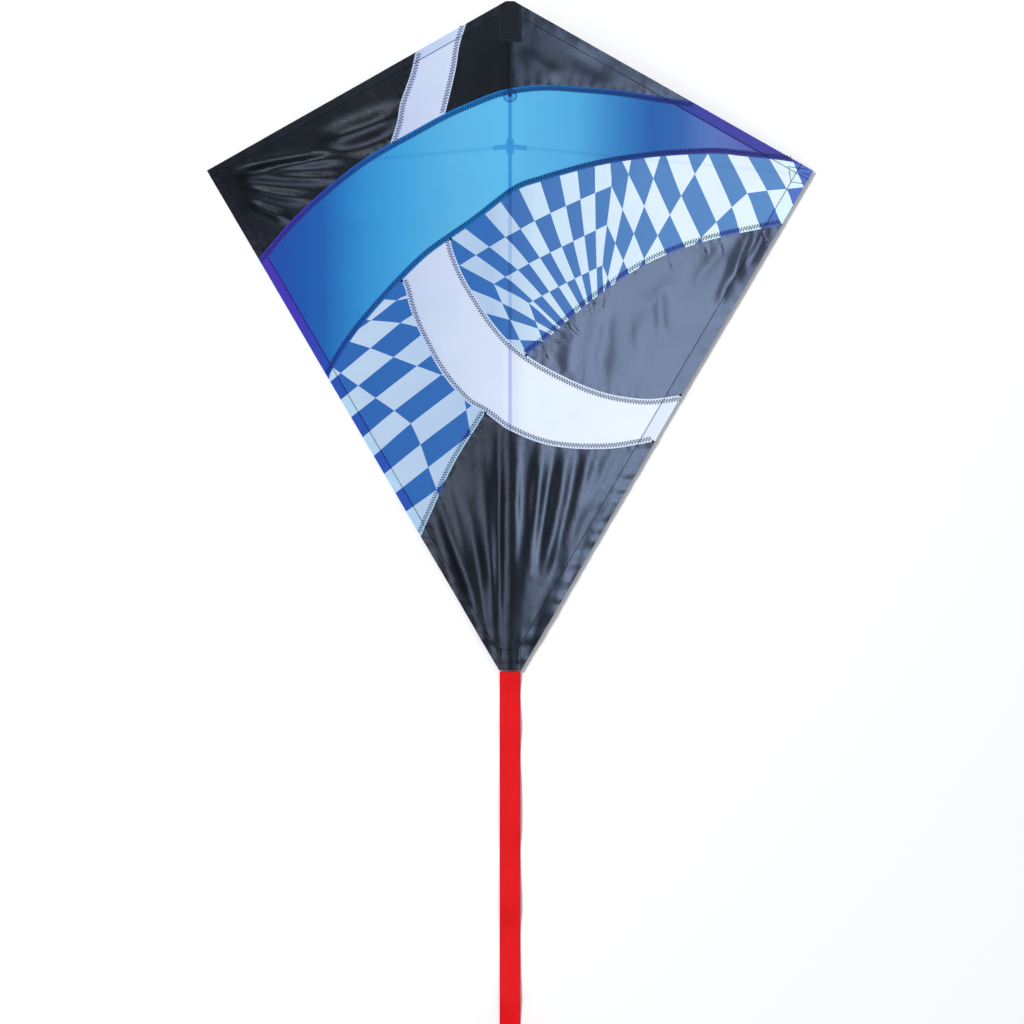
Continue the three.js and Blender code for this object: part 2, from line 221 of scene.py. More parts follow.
def add_studio():
    """A pale room, a key light from the upper left that the cloth doesn't mirror, and four boxes
    that only the cloth's gloss shows: two faint ones on the left and two cool ones on the right."""
    world = bpy.data.worlds.new("studio")
    bpy.context.scene.world = world
    world.use_nodes = True
    world.cycles_visibility.glossy = False
    background = world.node_tree.nodes["Background"]
    background.inputs["Color"].default_value = (0.95, 0.97, 1.0, 1)
    background.inputs["Strength"].default_value = 0.57
    key = add_softbox("key", (-2.3, 1.8, 4.2), (0, 0, 0), 0.9, 0.9, 182)
    key.visible_glossy = False
    for name, spot, wide, high, power, colour in (
            ("left_box", (-1.2, 0.98, 2.6), 0.34, 0.3, 3.3, (0.7, 0.82, 1)),
            ("low_box", (-0.88, -0.5, 2.7), 0.6, 0.7, 5.2, (0.6, 0.72, 1)),
            ("right_box", (1.07, 0.03, 2.7), 0.85, 0.6, 12, (0.5, 0.66, 1)),
            ("foot_box", (1.3, -0.55, 2.7), 0.42, 0.5, 8, (0.5, 0.66, 1))):
        box = add_softbox(name, spot, (0, 0.1, 0), wide, high, power, colour)
        box.visible_diffuse = False
    bpy.context.scene.view_settings.view_transform = "Standard"


def add_floor():
    half = 3.0
    corners = [(-half, -half, 0), (half, -half, 0), (half, half, 0), (-half, half, 0)]
    mesh = bpy.data.meshes.new("floor")
    mesh.from_pydata(corners, [], [(0, 1, 2, 3)])
    floor = bpy.data.objects.new("floor", mesh)
    bpy.context.scene.collection.objects.link(floor)
    floor.location.z = -0.0002
    material = bpy.data.materials.new("floor")
    material.use_nodes = True
    shader = material.node_tree.nodes["Principled BSDF"]
    shader.inputs["Base Color"].default_value = (0.97, 0.97, 0.97, 1)
    shader.inputs["Roughness"].default_value = 0.9
    floor.data.materials.append(material)


add_camera()
add_studio()
add_floor()

# --- flat sail to frame


def smooth(low, high, value):
    t = min(max((value - low) / (high - low), 0), 1)
    return t * t * (3 - 2 * t)


def spine_place(down, across, height):
    """A place beside the spine: down it from the nose, to its right, and above its axis."""
    return NOSE + (RIGHTWARD * across - NOSEWARD * down + OUTWARD * height) * MM


def place(across, down, height):
    """A flat sail position, at a height in millimetres above the spine's axis, in the frame."""
    reach = math.hypot(across, RIDGE)
    lean = math.sin(DIHEDRAL) * across / reach
    x = across * math.cos(DIHEDRAL) + height * lean
    z = height * math.sqrt(1 - lean * lean) - reach * math.sin(DIHEDRAL)
    return spine_place(down, x, z)


def spline(points):
    """Points along a smooth course through these ones."""
    ends = [(2 * points[0][0] - points[1][0], 2 * points[0][1] - points[1][1]),
            (2 * points[-1][0] - points[-2][0], 2 * points[-1][1] - points[-2][1])]
    knots = [Vector(p) for p in [ends[0], *points, ends[1]]]
    line = []
    for a, b, c, d in zip(knots, knots[1:], knots[2:], knots[3:]):
        steps = max(1, round((c - b).length / LINE_STEP))
        for i in range(steps):
            t = i / steps
            line.append(0.5 * (2 * b + (c - a) * t + (2 * a - 5 * b + 4 * c - d) * t * t
                               + (3 * b - a - 3 * c + d) * t ** 3))
    return [*line, knots[-2].copy()]


def extended(line, by):
    first = line[0] + (line[0] - line[1]).normalized() * by
    last = line[-1] + (line[-1] - line[-2]).normalized() * by
    return [first, *line, last]


def beside(line, offset):
    """The course that runs this far to the left of another, in the (across, down) plane."""
    out = []
    for i, point in enumerate(line):
        along = (line[min(i + 1, len(line) - 1)] - line[max(i - 1, 0)]).normalized()
        out.append(point + Vector((along.y, -along.x)) * offset)
    return out


def edge_distance(across, down):
    """Distance inside the sail's edge, and which edge is nearest."""
    x = abs(across)
    upper = math.atan2(TIP_DOWN, TIP_REACH - NOSE_HALF)
    lower = math.atan2(LENGTH - TIP_DOWN, TIP_REACH - FOOT_HALF)
    from_upper = down * math.cos(upper) - (x - NOSE_HALF) * math.sin(upper)
    from_lower = (TIP_REACH - x) * math.sin(lower) - (down - TIP_DOWN) * math.cos(lower)
    return min((from_upper, "upper"), (from_lower, "lower"))


SEAM_LINES = {name: spline(course) for name, (_, course) in SEAMS.items()}


def seam_finder():
    """A search tree of the points of all seams, and how far along its seam each is."""
    spots = [(p, i * LINE_STEP) for line in SEAM_LINES.values() for i, p in enumerate(line)]
    tree = KDTree(len(spots))
    for i, (p, _) in enumerate(spots):
        tree.insert((p.x, p.y, 0), i)
    tree.balance()
    return tree, [station for _, station in spots]


SEAM_TREE, SEAM_STATIONS = seam_finder()

# --- folds in the cloth, in millimetres

# Single folds: from, to, width, height.
FOLDS = [
    # below the hook, right of the spine
    ((4, 492), (3, 715), 3.5, 1.2), ((35, 500), (13, 690), 10, 2.3), ((66, 508), (36, 655), 9, 2.2),
    ((96, 506), (56, 630), 9, 2.0), ((22, 520), (9, 700), 5, -0.5), ((50, 515), (30, 640), 6, -0.6),
    ((118, 504), (84, 590), 8, 0.9),
    # below the hook, left of the spine
    ((-14, 478), (-9, 720), 6, -1.4), ((-40, 500), (-17, 700), 9, 1.1),
    ((-62, 535), (-26, 680), 10, -0.9), ((-80, 575), (-40, 690), 6, 0.8),
    # the slate panel
    ((74, 352), (64, 436), 8, 0.7), ((52, 395), (66, 440), 7, -0.5), ((157, 352), (148, 392), 8, 0.5),
    ((177, 330), (172, 375), 7, 0.6), ((196, 318), (150, 340), 8, 0.4),
    ((276, 258), (262, 318), 7, 1.7), ((293, 254), (276, 302), 5, 1.5), ((262, 282), (243, 345), 6, 1.3),
    ((250, 268), (214, 322), 8, -0.7), ((112, 350), (108, 430), 9, -0.7),
    # fanning out from the left tip
    ((-214, 158), (-122, 122), 12, 2.8), ((-214, 180), (-130, 145), 9, -1.3),
    ((-318, 193), (-176, 175), 7, 2.2), ((-316, 201), (-196, 196), 6, 1.8),
    ((-308, 209), (-228, 222), 6, 1.8), ((-300, 224), (-256, 250), 6, 1.6),
    ((-316, 190), (-220, 168), 6, -0.9), ((-230, 235), (-120, 245), 14, 1.5),
    ((-215, 262), (-110, 268), 12, -1.4), ((-160, 300), (-120, 262), 9, 0.5),
    # from the right tip, and near the nose
    ((322, 192), (236, 190), 10, 0.6), ((326, 200), (250, 214), 9, -0.5),
    ((12, 60), (60, 84), 9, 0.6), ((70, 52), (110, 86), 11, -0.5), ((-96, 62), (-60, 88), 10, 0.4),
]


def fold_height(spot, start, end, width, height):
    start, end = Vector(start), Vector(end)
    along = end - start
    t = (spot - start).dot(along) / along.length_squared
    if not -0.15 < t < 1.15:
        return 0
    bow = 2.5 * math.sin(3.1 * t + start.x)
    off = (spot - start).cross(along.normalized()) + bow
    taper = smooth(-0.15, 0.3, t) * (1 - smooth(0.7, 1.15, t))
    return height * taper * math.exp(-((off / width) ** 2))


def gathers(across, down):
    """Folds that draw together towards the foot of the sail."""
    apex = LENGTH + 90
    angle = math.atan2(across, apex - down)
    wander = noise.noise(Vector((angle * 11, down / 300, 3.7)))
    fine = noise.noise(Vector((angle * 30, down / 140, 9.1)))
    strength = smooth(485, 600, down) * (1 - smooth(735, 760, down))
    return strength * (1.6 * wander + 0.35 * fine)


def seam_pucker(across, down):
    _, index, distance = SEAM_TREE.find((across, down, 0))
    station = SEAM_STATIONS[index]
    ripple = math.sin(station / 1.9 + 2 * noise.noise(Vector((station / 23, index * 0.01, 0))))
    return 0.13 * ripple * math.exp(-((distance / 6.5) ** 2))


def hem_pucker(across, down):
    inside, edge = edge_distance(across, down)
    ripple = noise.noise(Vector((down / 9 if edge == "lower" else across / 12, inside / 30, 5.3)))
    strength = 0.85 if edge == "lower" and down > 470 else 0.4
    return strength * ripple * math.exp(-((inside / 15) ** 2))


def relief(across, down):
    """How far the cloth stands out of its flat plane here."""
    spot = Vector((across, down))
    height = 0.9 * noise.noise(Vector((across / 95, down / 95, 0.4)))
    height += 0.28 * noise.noise(Vector((across / 30, down / 34, 7.7)))
    height += gathers(across, down) + hem_pucker(across, down) + seam_pucker(across, down)
    height += sum(fold_height(spot, *fold) for fold in FOLDS)
    over_spine = smooth(1, 13, abs(across))
    at_pockets = 1 - smooth(300, 325, abs(across))
    return (0.12 + 0.88 * over_spine) * (0.25 + 0.75 * at_pockets) * max(height, -2.0)


def on_cloth(across, down, layers):
    """A place this many layers above the middle of the sail's cloth."""
    return place(across, down, CLOTH_MID + relief(across, down) + layers * LAYER)


# --- one flat mesh for the whole sail


class Pattern:
    """The sail cut into small triangles whose edges follow every seam, check, hem and hole."""

    def __init__(self):
        self.points, self.edges, self.kinds = [], [], []
        self.draw()
        self.scatter()
        result = delaunay_2d_cdt(self.points, self.edges, [], 0, 1e-4, True)
        self.points, edges, faces, _, origins, _ = result
        self.barrier = {}
        for edge, ids in zip(edges, origins):
            kinds = {self.kinds[i] for i in ids if i < len(self.kinds)}
            if kinds:
                self.barrier[frozenset(edge)] = kinds
        self.faces = [face for face in faces if self.is_cloth(self.centre(face))]
        self.centres = [self.centre(face) for face in self.faces]
        self.neighbours = self.find_neighbours()

    def add(self, line, kind, closed=False):
        first = len(self.points)
        self.points += [Vector(p) for p in line]
        pairs = [(first + i, first + i + 1) for i in range(len(line) - 1)]
        if closed:
            pairs.append((first + len(line) - 1, first))
        self.edges += pairs
        self.kinds += [kind] * len(pairs)

    def draw(self):
        corners = [Vector(p) for p in OUTLINE]
        outline = []
        for a, b in zip(corners, corners[1:] + corners[:1]):
            steps = max(1, round((b - a).length / LINE_STEP))
            outline += [a.lerp(b, i / steps) for i in range(steps)]
        self.add(outline, "edge", closed=True)
        self.add([Vector((0, d)) for d in range(0, LENGTH + 1, 3)], "spine")
        for name, (side, _) in SEAMS.items():
            line = extended(SEAM_LINES[name], 3)
            self.add(line, "seam")
            self.add(beside(line, side * ALLOWANCE), "allowance")
        for parts in CHECK_EDGES:
            lines = [spline(part) for part in parts]
            whole = [p for i, line in enumerate(lines) for p in line[1 if i else 0:]]
            self.add(extended(whole, CHECK_OVERRUN), "check")
        for (side, edge), width in HEM.items():
            self.add(self.hem_line(side, edge, width), "hem")
        for down in HOLES:
            turn = [math.tau * (i + 0.5) / 20 for i in range(20)]
            self.add([(HOLE_RADIUS * math.cos(t), down + HOLE_RADIUS * math.sin(t)) for t in turn],
                     "hole", closed=True)

    def hem_line(self, side, edge, width):
        ends = {"upper": [(NOSE_HALF, 0), (TIP_REACH, TIP_DOWN)],
                "lower": [(TIP_REACH, TIP_DOWN), (FOOT_HALF, LENGTH)]}[edge]
        a, b = (Vector((side * x, y)) for x, y in ends)
        steps = round((b - a).length / LINE_STEP)
        return beside([a.lerp(b, i / steps) for i in range(steps + 1)], -side * width)

    def scatter(self):
        """Points between the lines, on a staggered grid."""
        tree = KDTree(len(self.points))
        for i, p in enumerate(self.points):
            tree.insert((p.x, p.y, 0), i)
        tree.balance()
        rows = round(LENGTH / (GRID * ROW_RATIO))
        for row in range(rows + 1):
            down = row * GRID * ROW_RATIO
            half = round(TIP_REACH / GRID)
            for column in range(-half, half + 1):
                across = (column + 0.5 * (row % 2)) * GRID
                if edge_distance(across, down)[0] > 1 and tree.find((across, down, 0))[2] > 0.45 * GRID:
                    self.points.append(Vector((across, down)))

    def centre(self, face):
        return sum((self.points[i] for i in face), Vector((0, 0))) / len(face)

    def is_cloth(self, spot):
        in_hole = any((spot - Vector((0, down))).length < HOLE_RADIUS for down in HOLES)
        return edge_distance(*spot)[0] > 0 and 0 < spot.y < LENGTH and not in_hole

    def find_neighbours(self):
        owners = {}
        for i, face in enumerate(self.faces):
            for a, b in zip(face, face[1:] + face[:1]):
                owners.setdefault(frozenset((a, b)), []).append(i)
        neighbours = [[] for _ in self.faces]
        for edge, pair in owners.items():
            if len(pair) == 2:
                kinds = self.barrier.get(edge, set())
                neighbours[pair[0]].append((pair[1], kinds))
                neighbours[pair[1]].append((pair[0], kinds))
        return neighbours

    def face_at(self, spot):
        return min(range(len(self.centres)), key=lambda i: (self.centres[i] - Vector(spot)).length)

    def panel(self, spot):
        """The faces of the panel round a spot."""
        found = {self.face_at(spot)}
        queue = list(found)
        while queue:
            for other, kinds in self.neighbours[queue.pop()]:
                if other not in found and not kinds & {"seam", "spine"}:
                    found.add(other)
                    queue.append(other)
        return found

    def blue_checks(self, panel, spot):
        """The faces of a checked panel that are blue: every check edge crossed changes the colour."""
        start = self.face_at(spot)
        blue = {start: True}
        queue = [start]
        while queue:
            face = queue.pop()
            for other, kinds in self.neighbours[face]:
                if other in panel and other not in blue:
                    blue[other] = blue[face] != ("check" in kinds)
                    queue.append(other)
        return {face for face, is_blue in blue.items() if is_blue}


PATTERN = Pattern()
CLOTH_POINT = [(p.x, p.y, relief(p.x, p.y)) for p in PATTERN.points]

# --- meshes


class Solid:
    """Gathers vertices, faces, flat positions and materials, then makes one object of them."""

    def __init__(self):
        self.vertices, self.faces, self.flats, self.slots = [], [], [], []

    def vertex(self, at, flat=(0, 0)):
        self.vertices.append(at)
        self.flats.append(flat)
        return len(self.vertices) - 1

    def face(self, corners, slot=0):
        self.faces.append(corners)
        self.slots.append(slot)

    def grid(self, rows, closed=False):
        """Joins rows of vertex numbers by quads. closed joins each row's ends too."""
        for above, below in zip(rows, rows[1:]):
            last = len(above) if closed else len(above) - 1
            for i in range(last):
                j = (i + 1) % len(above)
                self.face((above[i], below[i], below[j], above[j]))

    def shell(self, front, back):
        """Closes two like grids of vertex numbers, one behind the other, with a rim."""
        self.grid(front)
        self.grid([list(reversed(row)) for row in back])
        rims = [grid[0] + [row[-1] for row in grid[1:-1]] + list(reversed(grid[-1]))
                + [row[0] for row in reversed(grid[1:-1])] for grid in (front, back)]
        for i, corner in enumerate(rims[0]):
            j = (i + 1) % len(rims[0])
            self.face((rims[1][i], corner, rims[0][j], rims[1][j]))

    def build(self, name, materials, sharp=35):
        mesh = bpy.data.meshes.new(name)
        mesh.from_pydata(self.vertices, [], self.faces)
        layer = mesh.uv_layers.new(name="flat")
        for loop in mesh.loops:
            across, down = self.flats[loop.vertex_index]
            layer.data[loop.index].uv = (across * MM, down * MM)
        for material in materials:
            mesh.materials.append(material)
        mesh.polygons.foreach_set("material_index", self.slots)
        mesh.shade_smooth()
        mesh.set_sharp_from_angle(angle=math.radians(sharp))
        mesh.validate()
        piece = bpy.data.objects.new(name, mesh)
        bpy.context.scene.collection.objects.link(piece)
        return piece


def add_sheet(solid, faces, slot_of, layers, thickness=CLOTH):
    """A closed sheet over some of the pattern's faces, a number of layers above the sail's middle."""
    numbers = {}
    for side in (-1, 1):
        for face in faces:
            for i in PATTERN.faces[face]:
                if (i, side) not in numbers:
                    across, down, height = CLOTH_POINT[i]
                    level = CLOTH_MID + height + layers * LAYER + side * thickness / 2
                    numbers[i, side] = solid.vertex(place(across, down, level), (across, down))
    borders = {}
    for face in faces:
        corners = PATTERN.faces[face]
        top = [numbers[i, 1] for i in corners]
        bottom = [numbers[i, -1] for i in corners]
        solid.face(list(reversed(top)), slot_of(face))
        solid.face(bottom, slot_of(face))
        for a, b in zip(corners, corners[1:] + corners[:1]):
            borders[a, b] = face
    for (a, b), face in borders.items():
        if (b, a) not in borders:
            solid.face((numbers[a, 1], numbers[b, 1], numbers[b, -1], numbers[a, -1]), slot_of(face))


def fix_normals(piece):
    """Turns every face of a closed mesh outwards."""
    mesh = bmesh.new()
    mesh.from_mesh(piece.data)
    bmesh.ops.recalc_face_normals(mesh, faces=mesh.faces)
    mesh.to_mesh(piece.data)
    mesh.free()


def stand_for(piece, slot, *nodes):
    """The piece takes the place of these CAD nodes, which are hidden. slot is not used."""
    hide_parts(*nodes)


def bend_at_spine(piece):
    """Bakes the piece's placement into its mesh."""
    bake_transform(piece)


# --- materials


def srgb(red, green, blue):
    """A colour as seen, 0 to 255, for a shader."""
    linear = [((c / 255 + 0.055) / 1.055) ** 2.4 if c > 10 else c / 255 / 12.92
              for c in (red, green, blue)]
    return (*linear, 1)


class Shader:
    """A material and short ways to wire it."""

    def __init__(self, name, roughness=0.5, specular=0.5):
        self.material = bpy.data.materials.new(name)
        self.material.use_nodes = True
        self.tree = self.material.node_tree
        self.surface = self.tree.nodes["Principled BSDF"]
        self.surface.inputs["Roughness"].default_value = roughness
        self.surface.inputs["Specular IOR Level"].default_value = specular

    def node(self, kind, sockets=(), **settings):
        """A node. Each of its sockets is given a number, a colour or another node's output."""
        made = self.tree.nodes.new(kind)
        for key, value in settings.items():
            setattr(made, key, value)
        for key, value in dict(sockets).items():
            if isinstance(value, bpy.types.NodeSocket):
                self.tree.links.new(value, made.inputs[key])
            else:
                made.inputs[key].default_value = value
        return made

    def math(self, operation, *values):
        return self.node("ShaderNodeMath", enumerate(values), operation=operation).outputs[0]

    def step(self, value, low, high, at_low=0.0, at_high=1.0):
        """A smooth change from at_low to at_high as a value passes from low to high."""
        sockets = {"Value": value, "From Min": low, "From Max": high, "To Min": at_low,
                   "To Max": at_high}
        return self.node("ShaderNodeMapRange", sockets, interpolation_type="SMOOTHSTEP").outputs[0]

    def tint(self, colour, factor, other, blend="MIX"):
        factor_at, colour_at, other_at, result_at = 0, 6, 7, 2
        sockets = {factor_at: factor, colour_at: colour, other_at: other}
        mixed = self.node("ShaderNodeMix", sockets, data_type="RGBA", blend_type=blend)
        return mixed.outputs[result_at]

    def ramp(self, value, stops):
        made = self.node("ShaderNodeValToRGB", {"Fac": value})
        elements = made.color_ramp.elements
        while len(elements) < len(stops):
            elements.new(0.5)
        for element, (position, colour) in zip(elements, stops):
            element.position, element.color = position, colour
        return made.outputs["Color"]

    def noise(self, vector, scale, detail=3.0, stretch=(1, 1, 1)):
        stretched = self.node("ShaderNodeVectorMath", {0: vector, 1: stretch}, operation="MULTIPLY")
        sockets = {"Vector": stretched.outputs[0], "Scale": scale, "Detail": detail}
        return self.node("ShaderNodeTexNoise", sockets).outputs["Fac"]

    def position(self):
        return self.node("ShaderNodeTexCoord").outputs["Object"]

    def flat(self):
        """The flat sail position here in millimetres: the vector, across and down."""
        uv = self.node("ShaderNodeUVMap", uv_map="flat").outputs[0]
        spot = self.node("ShaderNodeVectorMath", {0: uv, 1: (1000, 1000, 0)}, operation="MULTIPLY")
        parts = self.node("ShaderNodeSeparateXYZ", {0: spot.outputs[0]})
        return spot.outputs[0], parts.outputs[0], parts.outputs[1]

    def bump(self, height, distance, strength=1.0, after=None):
        sockets = {"Height": height, "Distance": distance, "Strength": strength}
        if after is not None:
            sockets["Normal"] = after
        return self.node("ShaderNodeBump", sockets).outputs[0]

    def weave(self, across, down, period):
        """Threads over and under, as a height from 0 to 1."""
        warp = self.math("SINE", self.math("MULTIPLY", across, math.tau / period))
        weft = self.math("SINE", self.math("MULTIPLY", down, math.tau / period))
        return self.math("MULTIPLY_ADD", self.math("MULTIPLY", warp, weft), 0.5, 0.5)

    def finish(self, colour, normal):
        self.tree.links.new(colour, self.surface.inputs["Base Color"])
        self.tree.links.new(normal, self.surface.inputs["Normal"])
        return self.material


def painted_frame_shadow(shader, across, down):
    """Painted shadow where things lie behind the cloth, as a mask: the spine, the spreaders, the fitting.
    """
    off_spine = shader.math("ABSOLUTE", across)
    spine = shader.step(off_spine, 1.2, 2.3, 1, 0)
    along = shader.math("MULTIPLY_ADD", off_spine, math.tan(SWEEP), HUB_DOWN)
    off_spreader = shader.math("ABSOLUTE", shader.math("SUBTRACT", down, along))
    rod = shader.step(off_spreader, 1.0, 3.0, 0.28, 0)
    in_arm = shader.step(off_spine, 18, 20, 1, 0)
    arm = shader.math("MULTIPLY", shader.step(off_spreader, 2.2, 3.4, 0.85, 0), in_arm)
    off_hub = shader.math("ABSOLUTE", shader.math("SUBTRACT", down, HUB_DOWN))
    knuckles = shader.math("MULTIPLY", shader.step(off_hub, 7.6, 8.8, 1, 0),
                           shader.step(off_spine, 3.0, 4.4, 1, 0))
    shadow_mask = shader.math("MAXIMUM", spine, rod)
    for part in (arm, knuckles):
        shadow_mask = shader.math("MAXIMUM", shadow_mask, part)
    return shadow_mask


def patch_shade(shader, across, down):
    """The ring of the reinforcing patches, seen through the cloth."""
    shade = None
    for hole in HOLES:
        level = shader.math("SUBTRACT", down, hole)
        reach = shader.math("SQRT", shader.math("ADD", shader.math("MULTIPLY", across, across),
                                                shader.math("MULTIPLY", level, level)))
        ring = shader.step(reach, 7.2, 8.6, 1, 0)
        shade = ring if shade is None else shader.math("MAXIMUM", shade, ring)
    return shade


def cloth_material(name, stops, behind, roughness, specular, doubled=None):
    """Thin woven sailcloth. Its colour goes by stops, rows of (across, red, green, blue), and is
    multiplied by behind where a rod lies behind it, as painted shadow, and by doubled where there are two
    layers."""
    shader = Shader(name, roughness, specular)
    spot, across, down = shader.flat()
    low, high = stops[0][0], stops[-1][0]
    along = shader.node("ShaderNodeMapRange", {"Value": across, "From Min": low, "From Max": high})
    colour = shader.ramp(along.outputs[0], [((x - low) / (high - low), srgb(*c)) for x, *c in stops])
    if behind is not None:
        # Painted shadow where the spine, spreaders and fitting lie behind the cloth, and painted shade
        # round the patch rings.
        shadow_mask = painted_frame_shadow(shader, across, down)
        colour = shader.tint(colour, shader.math("MULTIPLY", shadow_mask, 0.8), behind, "MULTIPLY")
        patch = shader.math("MULTIPLY", patch_shade(shader, across, down), 0.55)
        colour = shader.tint(colour, patch, behind, "MULTIPLY")
    if doubled is not None:
        colour = shader.tint(colour, 1.0, doubled, "MULTIPLY")
    cloudy = shader.noise(spot, 0.021, 4)
    colour = shader.tint(colour, 1.0, shader.ramp(cloudy, [(0.25, (0.93, 0.94, 0.955, 1)),
                                                           (0.75, (1.0, 1.0, 1.0, 1))]), "MULTIPLY")
    crinkle = shader.noise(spot, 0.085, 1.5, stretch=(1.25, 0.8, 1))
    normal = shader.bump(crinkle, 0.0011, 0.15)
    normal = shader.bump(shader.weave(across, down, 0.55), 0.00001, 0.5, normal)
    shader.surface.inputs["Sheen Weight"].default_value = 0.04
    shader.surface.inputs["Sheen Roughness"].default_value = 0.4
    return shader.finish(colour, normal)


def tape_material(name, colour, worn, roughness=0.6, period=1.5):
    """Webbing or tape with a rib across it, a little paler where it rubs."""
    shader = Shader(name, roughness, 0.45)
    spot, across, down = shader.flat()
    rib = shader.math("SINE", shader.math("MULTIPLY", down, math.tau / period))
    thread = shader.math("SINE", shader.math("MULTIPLY", across, math.tau / 0.7))
    height = shader.math("MULTIPLY_ADD", shader.math("ADD", rib, thread), 0.25, 0.5)
    base = shader.ramp(height, [(0.2, colour), (0.95, worn)])
    fuzz = shader.noise(spot, 0.9, 4)
    base = shader.tint(base, 0.35, shader.ramp(fuzz, [(0.3, colour), (0.75, worn)]))
    normal = shader.bump(height, 0.0002, 0.7)
    shader.surface.inputs["Sheen Weight"].default_value = 0.2
    return shader.finish(base, normal)


def moulded_material(name, colour, other, roughness, grain=900.0, depth=0.00006):
    """Moulded plastic or rubber with a fine grain and a few rubbed spots."""
    shader = Shader(name, roughness, 0.5)
    spot = shader.position()
    mottle = shader.noise(spot, 60.0, 5)
    base = shader.ramp(mottle, [(0.35, colour), (0.7, other)])
    rough = shader.noise(spot, 220.0, 2)
    shader.tree.links.new(shader.step(rough, 0.2, 0.8, roughness - 0.1, roughness + 0.12),
                          shader.surface.inputs["Roughness"])
    normal = shader.bump(shader.noise(spot, grain, 3), depth, 0.6)
    return shader.finish(base, normal)


def fibreglass_material():
    """A dark pultruded rod: long glass fibres under clear resin."""
    shader = Shader("fibreglass", 0.28, 0.5)
    spot = shader.position()
    fibres = shader.noise(spot, 900.0, 3, stretch=(1, 0.02, 1))
    base = shader.ramp(fibres, [(0.35, srgb(18, 19, 21)), (0.62, srgb(34, 36, 39)),
                                (0.8, srgb(64, 66, 68))])
    shader.surface.inputs["Coat Weight"].default_value = 0.4
    shader.surface.inputs["Coat Roughness"].default_value = 0.12
    return shader.finish(base, shader.bump(fibres, 0.00003, 0.4))


def thread_material(name, colour):
    shader = Shader(name, 0.55, 0.4)
    spot = shader.position()
    twist = shader.noise(spot, 2600.0, 2)
    base = shader.ramp(twist, [(0.3, tuple(0.6 * c for c in colour[:3]) + (1,)), (0.7, colour)])
    return shader.finish(base, shader.bump(twist, 0.00006, 0.6))


# Colours as seen, across the sail: rows of (across, red, green, blue). The black, white and check colours
# carry painted light: darker on the left wing and lighter towards the right, as painted shade and a
# painted reflection of the lights on the right.
BLACK_WITH_PAINTED_REFLECTION_STOPS = [(-300, 11, 13, 19), (30, 16, 19, 26), (120, 26, 31, 41), (330, 38, 44, 58)]
SKY_STOPS = [(-290, 24, 70, 156), (-250, 18, 76, 158), (-215, 20, 90, 164), (-190, 30, 116, 182),
             (-165, 42, 134, 194), (-120, 58, 152, 206), (-60, 82, 168, 212), (10, 86, 178, 224),
             (75, 74, 166, 218), (127, 44, 122, 188), (162, 30, 92, 168), (196, 42, 98, 172),
             (228, 82, 114, 184), (256, 92, 108, 183), (290, 80, 86, 166), (345, 66, 58, 156)]
SKY_DOUBLED_STOPS = [(-290, 64, 46, 164), (-245, 58, 48, 166), (-205, 26, 72, 168),
                     (-160, 20, 94, 176), (-60, 16, 112, 180), (30, 14, 108, 178),
                     (110, 18, 86, 164), (170, 32, 60, 152), (240, 62, 62, 160), (345, 68, 66, 160)]
# White cloth: painted shade on the left wing, painted light making it lighter on the right.
WHITE_WITH_PAINTED_LIGHT_STOPS = [(-130, 180, 192, 220), (-60, 196, 207, 228), (-10, 206, 216, 234),
               (20, 228, 238, 248), (180, 240, 247, 252)]
# Both check colours: painted shade on the left wing, lighter towards the right as painted light.
BLUE_CHECK_WITH_PAINTED_LIGHT_STOPS = [(-200, 36, 94, 168), (-20, 44, 102, 172), (12, 58, 108, 178),
                    (150, 80, 130, 190), (330, 92, 142, 200)]
PALE_CHECK_WITH_PAINTED_LIGHT_STOPS = [(-200, 178, 199, 222), (-20, 167, 190, 218), (30, 196, 220, 239),
                    (200, 226, 241, 250), (330, 232, 245, 252)]
# Slate colour, partly the cloth's own and partly a painted reflection of the lights on the right.
SLATE_WITH_PAINTED_REFLECTION_STOPS = [(0, 57, 65, 83), (330, 60, 69, 87)]
# Painted shadow tint for a rod behind the blue checks.
CHECK_PAINTED_SHADOW = (0.55, 0.62, 0.72, 1)
# Each cloth: its colours, the painted shadow that a rod behind it puts on them, roughness, gloss, and
# what a second layer does to its colour.
CLOTHS = {
    "black": (BLACK_WITH_PAINTED_REFLECTION_STOPS, None, 0.26, 0.8, (1.7, 1.7, 1.75, 1)),
    "slate": (SLATE_WITH_PAINTED_REFLECTION_STOPS, None, 0.26, 0.8, (0.75, 0.75, 0.8, 1)),
    "white": (WHITE_WITH_PAINTED_LIGHT_STOPS, (0.55, 0.6, 0.86, 1), 0.42, 0.25, (0.88, 0.92, 1.0, 1)),
    "sky": (SKY_STOPS, (0.15, 0.5, 0.78, 1), 0.42, 0.25, None),
    "sky_doubled": (SKY_DOUBLED_STOPS, (0.3, 0.5, 0.7, 1), 0.42, 0.25, None),
    "blue": (BLUE_CHECK_WITH_PAINTED_LIGHT_STOPS, CHECK_PAINTED_SHADOW, 0.42, 0.25, (0.8, 0.62, 1.0, 1)),
    "pale": (PALE_CHECK_WITH_PAINTED_LIGHT_STOPS, (0.6, 0.72, 0.9, 1), 0.42, 0.25, (0.92, 1.04, 1.06, 1)),
}
CLOTH_MATERIALS = {}
for cloth, (*facts, doubled) in CLOTHS.items():
    CLOTH_MATERIALS[cloth] = cloth_material(cloth + "_cloth", *facts)
    if doubled:
        CLOTH_MATERIALS[cloth + "_doubled"] = cloth_material(cloth + "_cloth_doubled", *facts, doubled)

